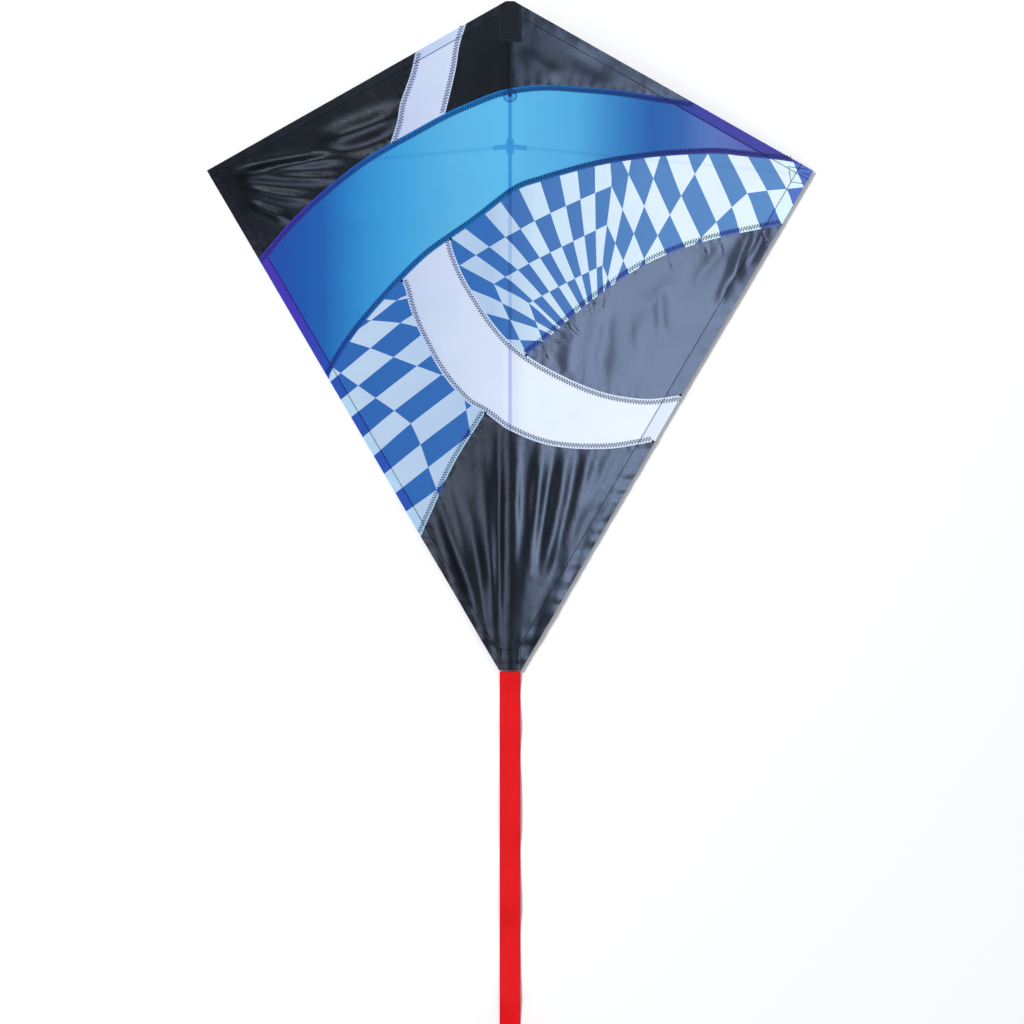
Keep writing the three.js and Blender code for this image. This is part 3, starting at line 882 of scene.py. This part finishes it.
WEBBING = tape_material("webbing", srgb(12, 14, 19), srgb(30, 34, 44))
PATCH_CLOTH = tape_material("patch_cloth", srgb(22, 26, 34), srgb(48, 54, 66), 0.5, 0.9)
POCKET_CLOTH = tape_material("pocket_cloth", srgb(34, 62, 140), srgb(60, 92, 172), 0.55, 0.9)
TIE_TAPE = tape_material("tie_tape", srgb(150, 16, 26), srgb(196, 40, 48), 0.6, 0.8)
FIBREGLASS = fibreglass_material()
VINYL = moulded_material("vinyl", srgb(22, 23, 26), srgb(38, 40, 44), 0.5)
HUB_PLASTIC = moulded_material("hub_plastic", srgb(18, 20, 24), srgb(32, 35, 41), 0.38, 1400.0)
DARK_THREAD = thread_material("dark_thread", srgb(14, 15, 20))
NAVY_THREAD = thread_material("navy_thread", srgb(10, 34, 74))
VIOLET_THREAD = thread_material("violet_thread", srgb(32, 36, 92))
GREY_THREAD = thread_material("grey_thread", srgb(52, 68, 112))


def ribbon_material():
    """Satin ribbon with a fine rib across it and a woven edge."""
    shader = Shader("red_ribbon", 0.38, 0.25)
    spot, across, down = shader.flat()
    rib = shader.math("SINE", shader.math("MULTIPLY", down, math.tau / 0.8))
    edge = shader.step(shader.math("ABSOLUTE", across), 10.9, 11.3)
    cloudy = shader.noise(spot, 0.05, 4, stretch=(1, 0.4, 1))
    base = shader.ramp(cloudy, [(0.3, srgb(220, 2, 8)), (0.7, srgb(230, 8, 16))])
    base = shader.tint(base, shader.math("MULTIPLY", edge, 0.5), srgb(180, 12, 22))
    crinkle = shader.noise(spot, 0.06, 3, stretch=(0.6, 1.3, 1))
    normal = shader.bump(crinkle, 0.0008, 0.35)
    return shader.finish(base, shader.bump(rib, 0.00006, 0.5, normal))


RIBBON_CLOTH = ribbon_material()

# --- the sail's panels

ALLOWANCES = {name: beside(SEAM_LINES[name], side * ALLOWANCE / 2)
              for name, (side, _) in SEAMS.items()}
SEAM_COLOURS = {"band_top": "sky", "band_foot": "sky", "hook_outer": "white", "hook_inner": "white",
                "checks_foot": "checks", "checks_left": "checks", "stripe_left": "white",
                "stripe_right": "white"}


def line_distance(spot, line):
    """Distance from a spot to a course."""
    best = math.inf
    for a, b in zip(line, line[1:]):
        along = b - a
        t = min(max((spot - a).dot(along) / along.length_squared, 0), 1)
        best = min(best, (spot - a.lerp(b, t)).length)
    return best


def in_hem(spot):
    inside, edge = edge_distance(*spot)
    return inside < HEM[-1 if spot.x < 0 else 1, edge]


def in_allowance(spot, colour):
    return any(SEAM_COLOURS[name] == colour and line_distance(spot, line) < ALLOWANCE / 2
               for name, line in ALLOWANCES.items())


def add_panel(node, spot, colour, blue_spot):
    faces = PATTERN.panel(spot)
    blue = PATTERN.blue_checks(faces, blue_spot) if blue_spot else set()
    names = ["pale", "blue"] if blue_spot else [colour]
    doubled = {f for f in faces if in_allowance(PATTERN.centres[f], colour)}
    hemmed = {f for f in faces if in_hem(PATTERN.centres[f])}
    materials = [CLOTH_MATERIALS[n] for n in names] + [CLOTH_MATERIALS[n + "_doubled"] for n in names]

    def slot_of(face):
        twice = face in doubled or face in hemmed
        return (face in blue) + (len(names) if twice else 0)

    solid = Solid()
    add_sheet(solid, faces, slot_of, 0)
    add_sheet(solid, doubled, slot_of, 1)
    add_sheet(solid, hemmed, slot_of, -1)
    panel = solid.build(node + "_cloth", materials)
    bend_at_spine(panel)
    stand_for(panel, "sail_" + colour, node)


for panel in PANELS:
    add_panel(*panel)

# --- stitching


def walk(line, step):
    """Places at equal steps along a course, each with the direction there."""
    out = []
    carried = 0
    for a, b in zip(line, line[1:]):
        length = (b - a).length
        while carried <= length:
            out.append((a.lerp(b, carried / length), (b - a).normalized()))
            carried += step
        carried -= length
    return out


def add_tube(solid, path, radius, sides=5):
    """A round strand along a path of frame positions, closed at both ends."""
    rings = []
    for i, point in enumerate(path):
        along = (path[min(i + 1, len(path) - 1)] - path[max(i - 1, 0)]).normalized()
        beside_it = along.orthogonal().normalized()
        above = along.cross(beside_it)
        rings.append([solid.vertex(point + (beside_it * math.cos(t) + above * math.sin(t)) * radius)
                      for t in (math.tau * k / sides for k in range(sides))])
    solid.grid(rings, closed=True)
    solid.face(rings[0])
    solid.face(list(reversed(rings[-1])))


def add_stitch(solid, start, end, layers, radius):
    """One stitch: it comes up through the cloth, lies on it and goes down again."""
    middle = (start + end) / 2
    near = start.lerp(end, 0.12)
    far = start.lerp(end, 0.88)
    path = [on_cloth(*start, layers - 1.1), on_cloth(*near, layers), on_cloth(*middle, layers + 0.15),
            on_cloth(*far, layers), on_cloth(*end, layers - 1.1)]
    add_tube(solid, path, radius * MM)


def covered(spot):
    """True under the nose webbing and the foot facing, where the sail's own stitches are hidden."""
    return abs(spot.x) < 12.8 and (spot.y < 46 or spot.y > 735.5)


class Stitches:
    """The stitches of one sort, kept apart for the two wings."""

    def __init__(self, name, material, radius=0.34):
        self.name, self.material, self.radius = name, material, radius
        self.sides = {-1: Solid(), 1: Solid()}

    def stitch(self, start, end, layers):
        middle = (start + end) / 2
        if not covered(middle) and edge_distance(*middle)[0] > 0.4:
            add_stitch(self.sides[-1 if middle.x < 0 else 1], start, end, layers, self.radius)

    def straight(self, line, layers, pitch=3.1, gap=0.7):
        for spot, along in walk(line, pitch):
            self.stitch(spot, spot + along * (pitch - gap), layers)

    def zigzag(self, line, layers, pitch=1.6, half=2.5):
        stops = walk(line, pitch)
        turned = [spot + Vector((along.y, -along.x)) * (half if i % 2 else -half)
                  for i, (spot, along) in enumerate(stops)]
        for a, b in zip(turned, turned[1:]):
            self.stitch(a, b, layers)

    def knot(self, spot, layers):
        """A tangle of thread where two seams meet."""
        for i in range(5):
            turn = 1.9 * i + spot.x
            reach = Vector((math.cos(turn), math.sin(turn))) * 1.7
            self.stitch(spot - reach, spot + reach * 0.7, layers + 0.3 * i)

    def build(self):
        for side, solid in self.sides.items():
            if solid.faces:
                piece = solid.build(f"{self.name}_{HANDS[side]}", [self.material])
                bend_at_spine(piece)


def seam_stitches():
    sorts = {
        "band_zigzag": (NAVY_THREAD, ("band_top", "band_foot")),
        "checks_zigzag": (NAVY_THREAD, ("checks_foot", "checks_left")),
        "stripe_zigzag": (VIOLET_THREAD, ("stripe_left", "stripe_right")),
        "hook_zigzag": (GREY_THREAD, ("hook_outer", "hook_inner")),
    }
    for name, (material, seams) in sorts.items():
        sewn = Stitches(name, material)
        for seam in seams:
            side = SEAMS[seam][0]
            sewn.zigzag(beside(SEAM_LINES[seam], side * 3.8), 2.0)
        sewn.build()
    knots = Stitches("seam_knots", DARK_THREAD)
    for seam in ("hook_outer", "hook_inner", "checks_left", "checks_foot"):
        for end in (SEAM_LINES[seam][0], SEAM_LINES[seam][-1]):
            knots.knot(end, 2.4)
    knots.build()


def hem_stitches():
    sewn = Stitches("hem_stitches", DARK_THREAD, 0.4)
    for (side, edge), width in HEM.items():
        line = PATTERN.hem_line(side, edge, width - 1.2)
        start = 6 if edge == "upper" else 2
        sewn.straight([p for p in line if p.y > start and p.x * side > 0.5], 1.0)
    sewn.build()


def pocket_stitches():
    """The lines that hold the wing pockets, a box open towards the tip, and a bar nearer the tip."""
    sewn = Stitches("pocket_stitches", DARK_THREAD)
    for side in HANDS:
        box = [(344, 188.5), (322, 185.5), (325, 203), (339, 205)]
        bar = [(339, 192.5), (346.5, 195.5)]
        for course in (box, bar):
            sewn.straight([Vector((side * x, y)) for x, y in course], 1.1, 2.6, 0.5)
    sewn.build()


def patch_stitches():
    """The ring of stitches round each tow hole."""
    sewn = Stitches("patch_stitches", DARK_THREAD)
    for down in HOLES:
        ring = [Vector((6.6 * math.cos(t), down + 6.6 * math.sin(t)))
                for t in (math.tau * i / 40 for i in range(41))]
        sewn.straight(ring, 1.0, 2.2, 0.6)
    sewn.build()


seam_stitches()
hem_stitches()
pocket_stitches()
patch_stitches()

# --- sewn-on pieces


def add_strip(name, node, material, side, half_width, start, end, layers, thick, fold=0):
    """Half of a strip of tape sewn over the spine, with a rounded outer edge, from start to end
    down the spine. fold is how much of its lower end is turned under."""
    solid = Solid()
    rows, columns = round((end - start) / 1.6), 9
    slope = (TIP_REACH - NOSE_HALF) / TIP_DOWN
    top, bottom = [], []
    for i in range(rows + 1):
        down = start + (end - start) * i / rows
        half = min(half_width, NOSE_HALF + down * slope)
        half += 0.12 * math.sin(down * 1.7)
        swell = 0.6 * smooth(end - fold, end - fold * 0.3, down) if fold else 0
        upper, lower = [], []
        for k in range(columns + 1):
            t = k / columns
            across = side * half * t
            round_off = math.sqrt(max(0, 1 - max(0, t - 0.93) ** 2 / 0.0049))
            thickness = thick * (0.35 + 0.65 * round_off) * (1 + swell)
            upper.append(solid.vertex(on_cloth(across, down, layers + thickness / LAYER), (across, down)))
            lower.append(solid.vertex(on_cloth(across, down, layers), (across, down)))
        top.append(upper)
        bottom.append(lower)
    solid.shell(top, bottom)
    piece = solid.build(name, [material], 50)
    fix_normals(piece)
    bend_at_spine(piece)
    stand_for(piece, "webbing_black", node)


def add_patch(side, down, node):
    """Half of a round patch behind the cloth, with its half of the tow hole."""
    solid = Solid()
    shells = []
    for layers in (-1.2, -2.6):
        rows = []
        for radius in (HOLE_RADIUS, 2.4, 3.6, 4.8, 6.0, 7.2, 7.8, PATCH_RADIUS):
            droop = 0.5 if radius == PATCH_RADIUS and layers < -2 else 0
            spots = [(side * radius * math.cos(t), down + radius * math.sin(t))
                     for t in (math.pi * (k / 16 - 0.5) for k in range(17))]
            rows.append([solid.vertex(on_cloth(*spot, layers + droop), spot) for spot in spots])
        shells.append(rows)
    solid.shell(*shells)
    piece = solid.build(node + "_cloth", [PATCH_CLOTH], 50)
    fix_normals(piece)
    bend_at_spine(piece)
    stand_for(piece, "patch_cloth", node)


def add_strips():
    """The nose webbing and the foot facing, each with stitches down its side and across it."""
    sewn = Stitches("strip_stitches", GREY_THREAD)
    sewn_black = Stitches("facing_stitches", DARK_THREAD)
    rows = [(sewn, (10.8, 6), (10.8, 44), 2.8, 2.2, 4.9),
            (sewn, (0.6, 43.2), (10.4, 43.2), 2.6, 2.0, 5.6),
            (sewn_black, (9.4, 738), (9.4, 759), 2.6, 2.0, 3.6),
            (sewn_black, (0.5, 738), (9.2, 738), 2.6, 2.0, 3.6)]
    for side, hand in HANDS.items():
        for thread, start, end, pitch, length, layers in rows:
            course = [Vector((side * x, y)) for x, y in (start, end)]
            for spot, along in walk(course, pitch):
                add_stitch(thread.sides[side], spot, spot + along * length, layers, thread.radius)
        add_strip(f"nose_webbing_{hand}_tape", f"nose_webbing_{hand}", WEBBING, side, 12.5, 0.9, 46,
                  2.2, 0.75, fold=5)
        add_strip(f"foot_facing_{hand}_cloth", f"foot_facing_{hand}", CLOTH_MATERIALS["black"], side,
                  10.5, 736, 761, 2.0, 0.3)
    sewn.build()
    sewn_black.build()


add_strips()
for side, hand in HANDS.items():
    for patch, hole in zip(("tow_patch_", "foot_patch_"), HOLES):
        add_patch(side, hole, patch + hand)

# --- rods, caps, fitting and sleeves


def wing_place(side, reach, footward, height):
    """A place in a wing's own frame: reach out along its spreader, then towards the foot."""
    across = reach * math.cos(SWEEP) - footward * math.sin(SWEEP)
    down = HUB_DOWN - side * ARM_OFFSET + reach * math.sin(SWEEP) + footward * math.cos(SWEEP)
    x = side * (across * math.cos(DIHEDRAL) + height * math.sin(DIHEDRAL))
    return spine_place(down, x, height * math.cos(DIHEDRAL) - across * math.sin(DIHEDRAL))


def lathe(solid, where, profile):
    """A turned shape. where(along, u, v) gives the frame position, and the profile is rows of
    (along, radius). It ends where a radius is 0, or else it is a ring whose last row meets its first."""
    rows = []
    for along, radius in profile:
        if radius == 0:
            rows.append([solid.vertex(where(along, 0, 0), (0, along))] * ROUND)
        else:
            rows.append([solid.vertex(where(along, radius * math.cos(t), radius * math.sin(t)),
                                      (radius * t, along))
                         for t in (math.tau * k / ROUND for k in range(ROUND))])
    if profile[0][1] > 0:
        rows.append(rows[0])
    for above, below in zip(rows, rows[1:]):
        for i in range(ROUND):
            j = (i + 1) % ROUND
            corners = list(dict.fromkeys((above[i], above[j], below[j], below[i])))
            if len(corners) > 2:
                solid.face(tuple(corners))


def along_spreader(side):
    return lambda along, u, v: wing_place(side, along, side * u, v)


def rod_profile(start, end, chamfer=0.35):
    return [(start, 0), (start, ROD - chamfer), (start + chamfer, ROD), (start + 12, ROD),
            ((start + end) / 2, ROD), (end - 12, ROD), (end - chamfer, ROD), (end, ROD - chamfer),
            (end, 0)]


def cap_profile(closed, opening):
    """A soft end cap: a domed closed end, two grip ribs and a rolled lip, then its bore."""
    inward = 1 if opening > closed else -1
    dome = [(0, 0), (0, 1.0), (0.25, 1.65), (0.8, 2.1), (1.5, 2.25), (3.2, 2.2)]
    ribs = [(3.6, 2.3), (4.3, 2.3), (4.7, 2.15), (6.2, 2.15), (6.6, 2.3), (7.3, 2.3), (7.7, 2.15)]
    lip = [(1.3, 2.15), (1.0, 2.3), (0.2, 2.3), (0, 2.1), (0, 1.6), (0.3, 1.54)]
    bore = [(2.4, 1.54), (2.4, 0)]
    return ([(closed + deep * inward, radius) for deep, radius in dome + ribs]
            + [(opening - deep * inward, radius) for deep, radius in lip]
            + [(closed + deep * inward, radius) for deep, radius in bore])


def ring_profile(centre, half=1.0, radius=3.0, bore=1.55):
    """A ring with a rounded outside, then its bore."""
    outside = [(centre - half * math.cos(t), radius - 0.55 * (1 - math.sin(t)))
               for t in (math.pi * k / 8 for k in range(9))]
    return [*outside, (centre + half, bore + 0.1), (centre + half - 0.1, bore),
            (centre - half + 0.1, bore), (centre - half, bore + 0.1)]


def mount(solid, name, node, body, material, slot, sharp):
    """Makes a piece of a solid. It rides on a body and takes a CAD node's place."""
    piece = solid.build(name, [material], sharp)
    fix_normals(piece)
    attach(piece, body)
    stand_for(piece, slot, node)


def turned(name, node, body, where, profile, material, slot):
    solid = Solid()
    lathe(solid, where, profile)
    mount(solid, name, node, body, material, slot, 40)


def add_frame():
    turned("spine_rod_fibre", "spine_rod", "spine", spine_place, rod_profile(4.2, 756.8), FIBREGLASS,
           "fibreglass")
    turned("nose_cap_vinyl", "nose_cap", "spine", spine_place, cap_profile(1.8, 14), VINYL, "vinyl")
    turned("foot_cap_vinyl", "foot_cap", "spine", spine_place, cap_profile(759.2, 747), VINYL, "vinyl")
    for end, ring_at in (("nose", -RING_OFFSET), ("foot", RING_OFFSET)):
        turned(f"stop_ring_{end}_vinyl", f"stop_ring_{end}", "spine", spine_place,
               ring_profile(HUB_DOWN + ring_at), VINYL, "vinyl")
    for side, hand in HANDS.items():
        body = hand + "_wing"
        turned(f"spreader_rod_{hand}_fibre", f"spreader_rod_{hand}", body, along_spreader(side),
               rod_profile(6.4, 336.9), FIBREGLASS, "fibreglass")
        turned(f"tip_cap_{hand}_vinyl", f"tip_cap_{hand}", body, along_spreader(side),
               cap_profile(339.2, 327), VINYL, "vinyl")
        add_hub_arm(side, hand, body)


def add_hub_arm(side, hand, body):
    """A ribbed knuckle round the spine, and an arm with a flared socket for the spreader."""
    solid = Solid()
    start = HUB_DOWN + (-6.15 if side > 0 else 0.15)
    knuckle = [(0, 3.3), (0.4, 3.8), (1.2, 3.8), (1.5, 3.6), (4.5, 3.6), (4.8, 3.8), (5.6, 3.8),
               (6.0, 3.3)]
    knuckle_bore = [(6.0, 1.9), (5.8, 1.8), (0.2, 1.8), (0, 1.9)]
    arm = [(2.3, 2.0), (3.2, 2.35), (5.5, 2.35), (8, 2.4), (12, 2.5), (15.5, 2.6), (16, 2.8),
           (18.6, 2.8), (19, 2.6)]
    socket = [(19, 1.85), (18.7, 1.62), (6.2, 1.62), (6.0, 1.5), (2.3, 1.5)]
    lathe(solid, spine_place, [(start + along, radius) for along, radius in knuckle + knuckle_bore])
    lathe(solid, along_spreader(side), arm + socket)
    mount(solid, f"hub_arm_{hand}_moulded", f"hub_arm_{hand}", body, HUB_PLASTIC, "hub_plastic", 40)


def sleeve(name, node, body, where, start, end, wide, high, material, slot):
    """A flattened cloth sleeve that is sewn down a little at its far end: an outer skin and an inner
    one, with puckers."""
    solid = Solid()
    steps, sides = 20, 32
    skins = []
    for wall in (0, 0.35):
        rows = []
        for i in range(steps + 1):
            t = i / steps
            along = start + (end - start) * t
            shut = 0.1 * smooth(0.62, 1.0, t)
            half_high = (high / 2 - wall) * (1 - shut) + 0.4 * shut
            row = []
            for k in range(sides):
                turn = math.tau * k / sides
                u = math.copysign(abs(math.cos(turn)) ** 0.62, math.cos(turn))
                v = math.copysign(abs(math.sin(turn)) ** 0.8, math.sin(turn))
                pucker = 0.16 * noise.noise(Vector((turn * 2.1, along / 3.5, 0)))
                lift = v * half_high + pucker * (1 - shut) + (high / 2 - 0.7) * shut
                row.append(solid.vertex(where(along, u * (wide / 2 - wall) * (1 + 0.04 * shut), lift),
                                        (turn * wide / 4, along)))
            rows.append(row)
        skins.append(rows)
    outer, inner = skins
    solid.grid(outer, closed=True)
    solid.grid([list(reversed(row)) for row in inner], closed=True)
    for end_row in (0, -1):
        solid.grid([outer[end_row], inner[end_row]], closed=True)
    mount(solid, name, node, body, material, slot, 60)


def add_sleeves():
    sleeve("nose_pocket_cloth", "nose_pocket", "spine", spine_place, 30.4, 0.7, 6.8, 6.6, WEBBING,
           "webbing_black")
    sleeve("foot_pocket_cloth", "foot_pocket", "spine", spine_place, 733.2, 760.8, 6.8, 6.6,
           CLOTH_MATERIALS["black"], "webbing_black")
    for side, hand in HANDS.items():

        def where(along, u, v, side=side):
            return wing_place(side, along, u, v + 0.4)

        sleeve(f"wing_pocket_{hand}_cloth", f"wing_pocket_{hand}", hand + "_wing", where, 323.2, 341.9,
               10.8, 6.4, POCKET_CLOTH, "pocket_blue")


add_frame()
add_sleeves()

# --- the tail

RIBBON_WIDTH = 24
RIBBON_LENGTH = 3000
RIBBON_THICK = 0.16
ROLL_CORE = 8.0
TIE_LOW, TIE_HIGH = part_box("tail_tie")
ROLL_LOW, ROLL_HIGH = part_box("tail_roll")
ROLL_CENTRE = (Vector(ROLL_LOW) + Vector(ROLL_HIGH)) / 2
ROLL_RADIUS = (ROLL_HIGH[2] - ROLL_LOW[2]) / 2 / MM
RIBBON_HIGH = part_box("tail_ribbon")[1]


def tail_path():
    """The middle line of the ribbon in Y and Z, in millimetres, from the sail's foot to the core of
    the roll: down to the ground, along it, then round and round."""
    top = Vector((RIBBON_HIGH[1], RIBBON_HIGH[2] - 0.00025)) / MM
    low = 0.35
    drop = 28
    points = []
    for i in range(15):
        t = i / 14
        y = 3 * (1 - t) ** 2 * t * drop / 2 + 3 * (1 - t) * t * t * drop / 2 + t ** 3 * drop
        points.append(Vector((top.x - y, top.y + (low - top.y) * (3 * t * t - 2 * t ** 3))))
    centre = Vector((ROLL_CENTRE.y, ROLL_CENTRE.z)) / MM
    run = points[-1].x - centre.x
    for i in range(1, 130):
        s = run * i / 130
        wave = 0.5 + 0.5 * math.sin(s / 17 + 1.5 * noise.noise(Vector((s / 60, 2.2, 0))))
        lift = 3.6 * wave * smooth(0, 40, s) * (1 - smooth(run - 60, run - 10, s))
        points.append(Vector((points[14].x - s, low + lift)))
    straight = sum((b - a).length for a, b in zip(points, points[1:]))
    left = RIBBON_LENGTH - straight
    outer = ROLL_RADIUS - 0.3
    pitch = math.pi * (outer ** 2 - ROLL_CORE ** 2) / left
    turns = (outer - ROLL_CORE) / pitch
    steps = round(turns * 44)
    for i in range(steps + 1):
        turn = math.tau * turns * i / steps
        radius = outer - pitch * turn / math.tau
        points.append(centre + Vector((-math.sin(turn), -math.cos(turn))) * radius)
    return points


def add_ribbon():
    solid = Solid()
    path = tail_path()
    columns = 6
    rows = {1: [], -1: []}
    station = 0
    for i, point in enumerate(path):
        if i:
            station += (point - path[i - 1]).length
        along = (path[min(i + 1, len(path) - 1)] - path[max(i - 1, 0)]).normalized()
        normal = Vector((along.y, -along.x))
        for skin in (1, -1):
            row = []
            for k in range(columns + 1):
                across = RIBBON_WIDTH * (k / columns - 0.5)
                curl = 0.10 * noise.noise(Vector((across / 9, station / 30, 4))) if station < 440 else 0
                spot = point + normal * (skin * RIBBON_THICK / 2 + curl)
                row.append(solid.vertex(Vector((across, spot.x, spot.y)) * MM, (across, station)))
            rows[skin].append(row)
    solid.shell(rows[1], rows[-1])
    ribbon = solid.build("tail_ribbon_satin", [RIBBON_CLOTH], 60)
    fix_normals(ribbon)
    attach(ribbon, "tail")
    stand_for(ribbon, "ribbon_red", "tail_ribbon", "tail_roll")


def add_tie():
    """A loop of tape through the core of the roll and round its outside."""
    solid = Solid()
    centre = (Vector(TIE_LOW) + Vector(TIE_HIGH)) / 2
    half_wide = (TIE_HIGH[0] - TIE_LOW[0]) / 2 - 0.4 * MM
    half_high = (TIE_HIGH[2] - TIE_LOW[2]) / 2 - 0.4 * MM
    corner = 1.3 * MM
    loop = []
    for k, (sx, sz) in enumerate([(1, 1), (-1, 1), (-1, -1), (1, -1)]):
        for step in range(7):
            turn = math.pi / 2 * (k + step / 6)
            loop.append(Vector((sx * (half_wide - corner) + corner * math.cos(turn), 0,
                                sz * (half_high - corner) + corner * math.sin(turn))))
    rows = []
    for i, spot in enumerate(loop):
        along = (loop[(i + 1) % len(loop)] - loop[i - 1]).normalized()
        out = Vector((along.z, 0, -along.x))
        row = []
        for y, high in ((-1, -1), (-0.6, -1), (0, -1), (0.6, -1), (1, -1), (1, 1), (0.6, 1), (0, 1),
                        (-0.6, 1), (-1, 1)):
            thickness = 0.36 * (0.7 if abs(y) == 1 else 1)
            at = centre + spot + out * (high * thickness * MM) + Vector((0, y * 1.95 * MM, 0))
            row.append(solid.vertex(at, (y * 2, i)))
        rows.append(row)
    rows.append(rows[0])
    solid.grid(rows, closed=True)
    mount(solid, "tail_tie_tape", "tail_tie", "tail", TIE_TAPE, "tie_red", 60)


add_ribbon()
add_tie()
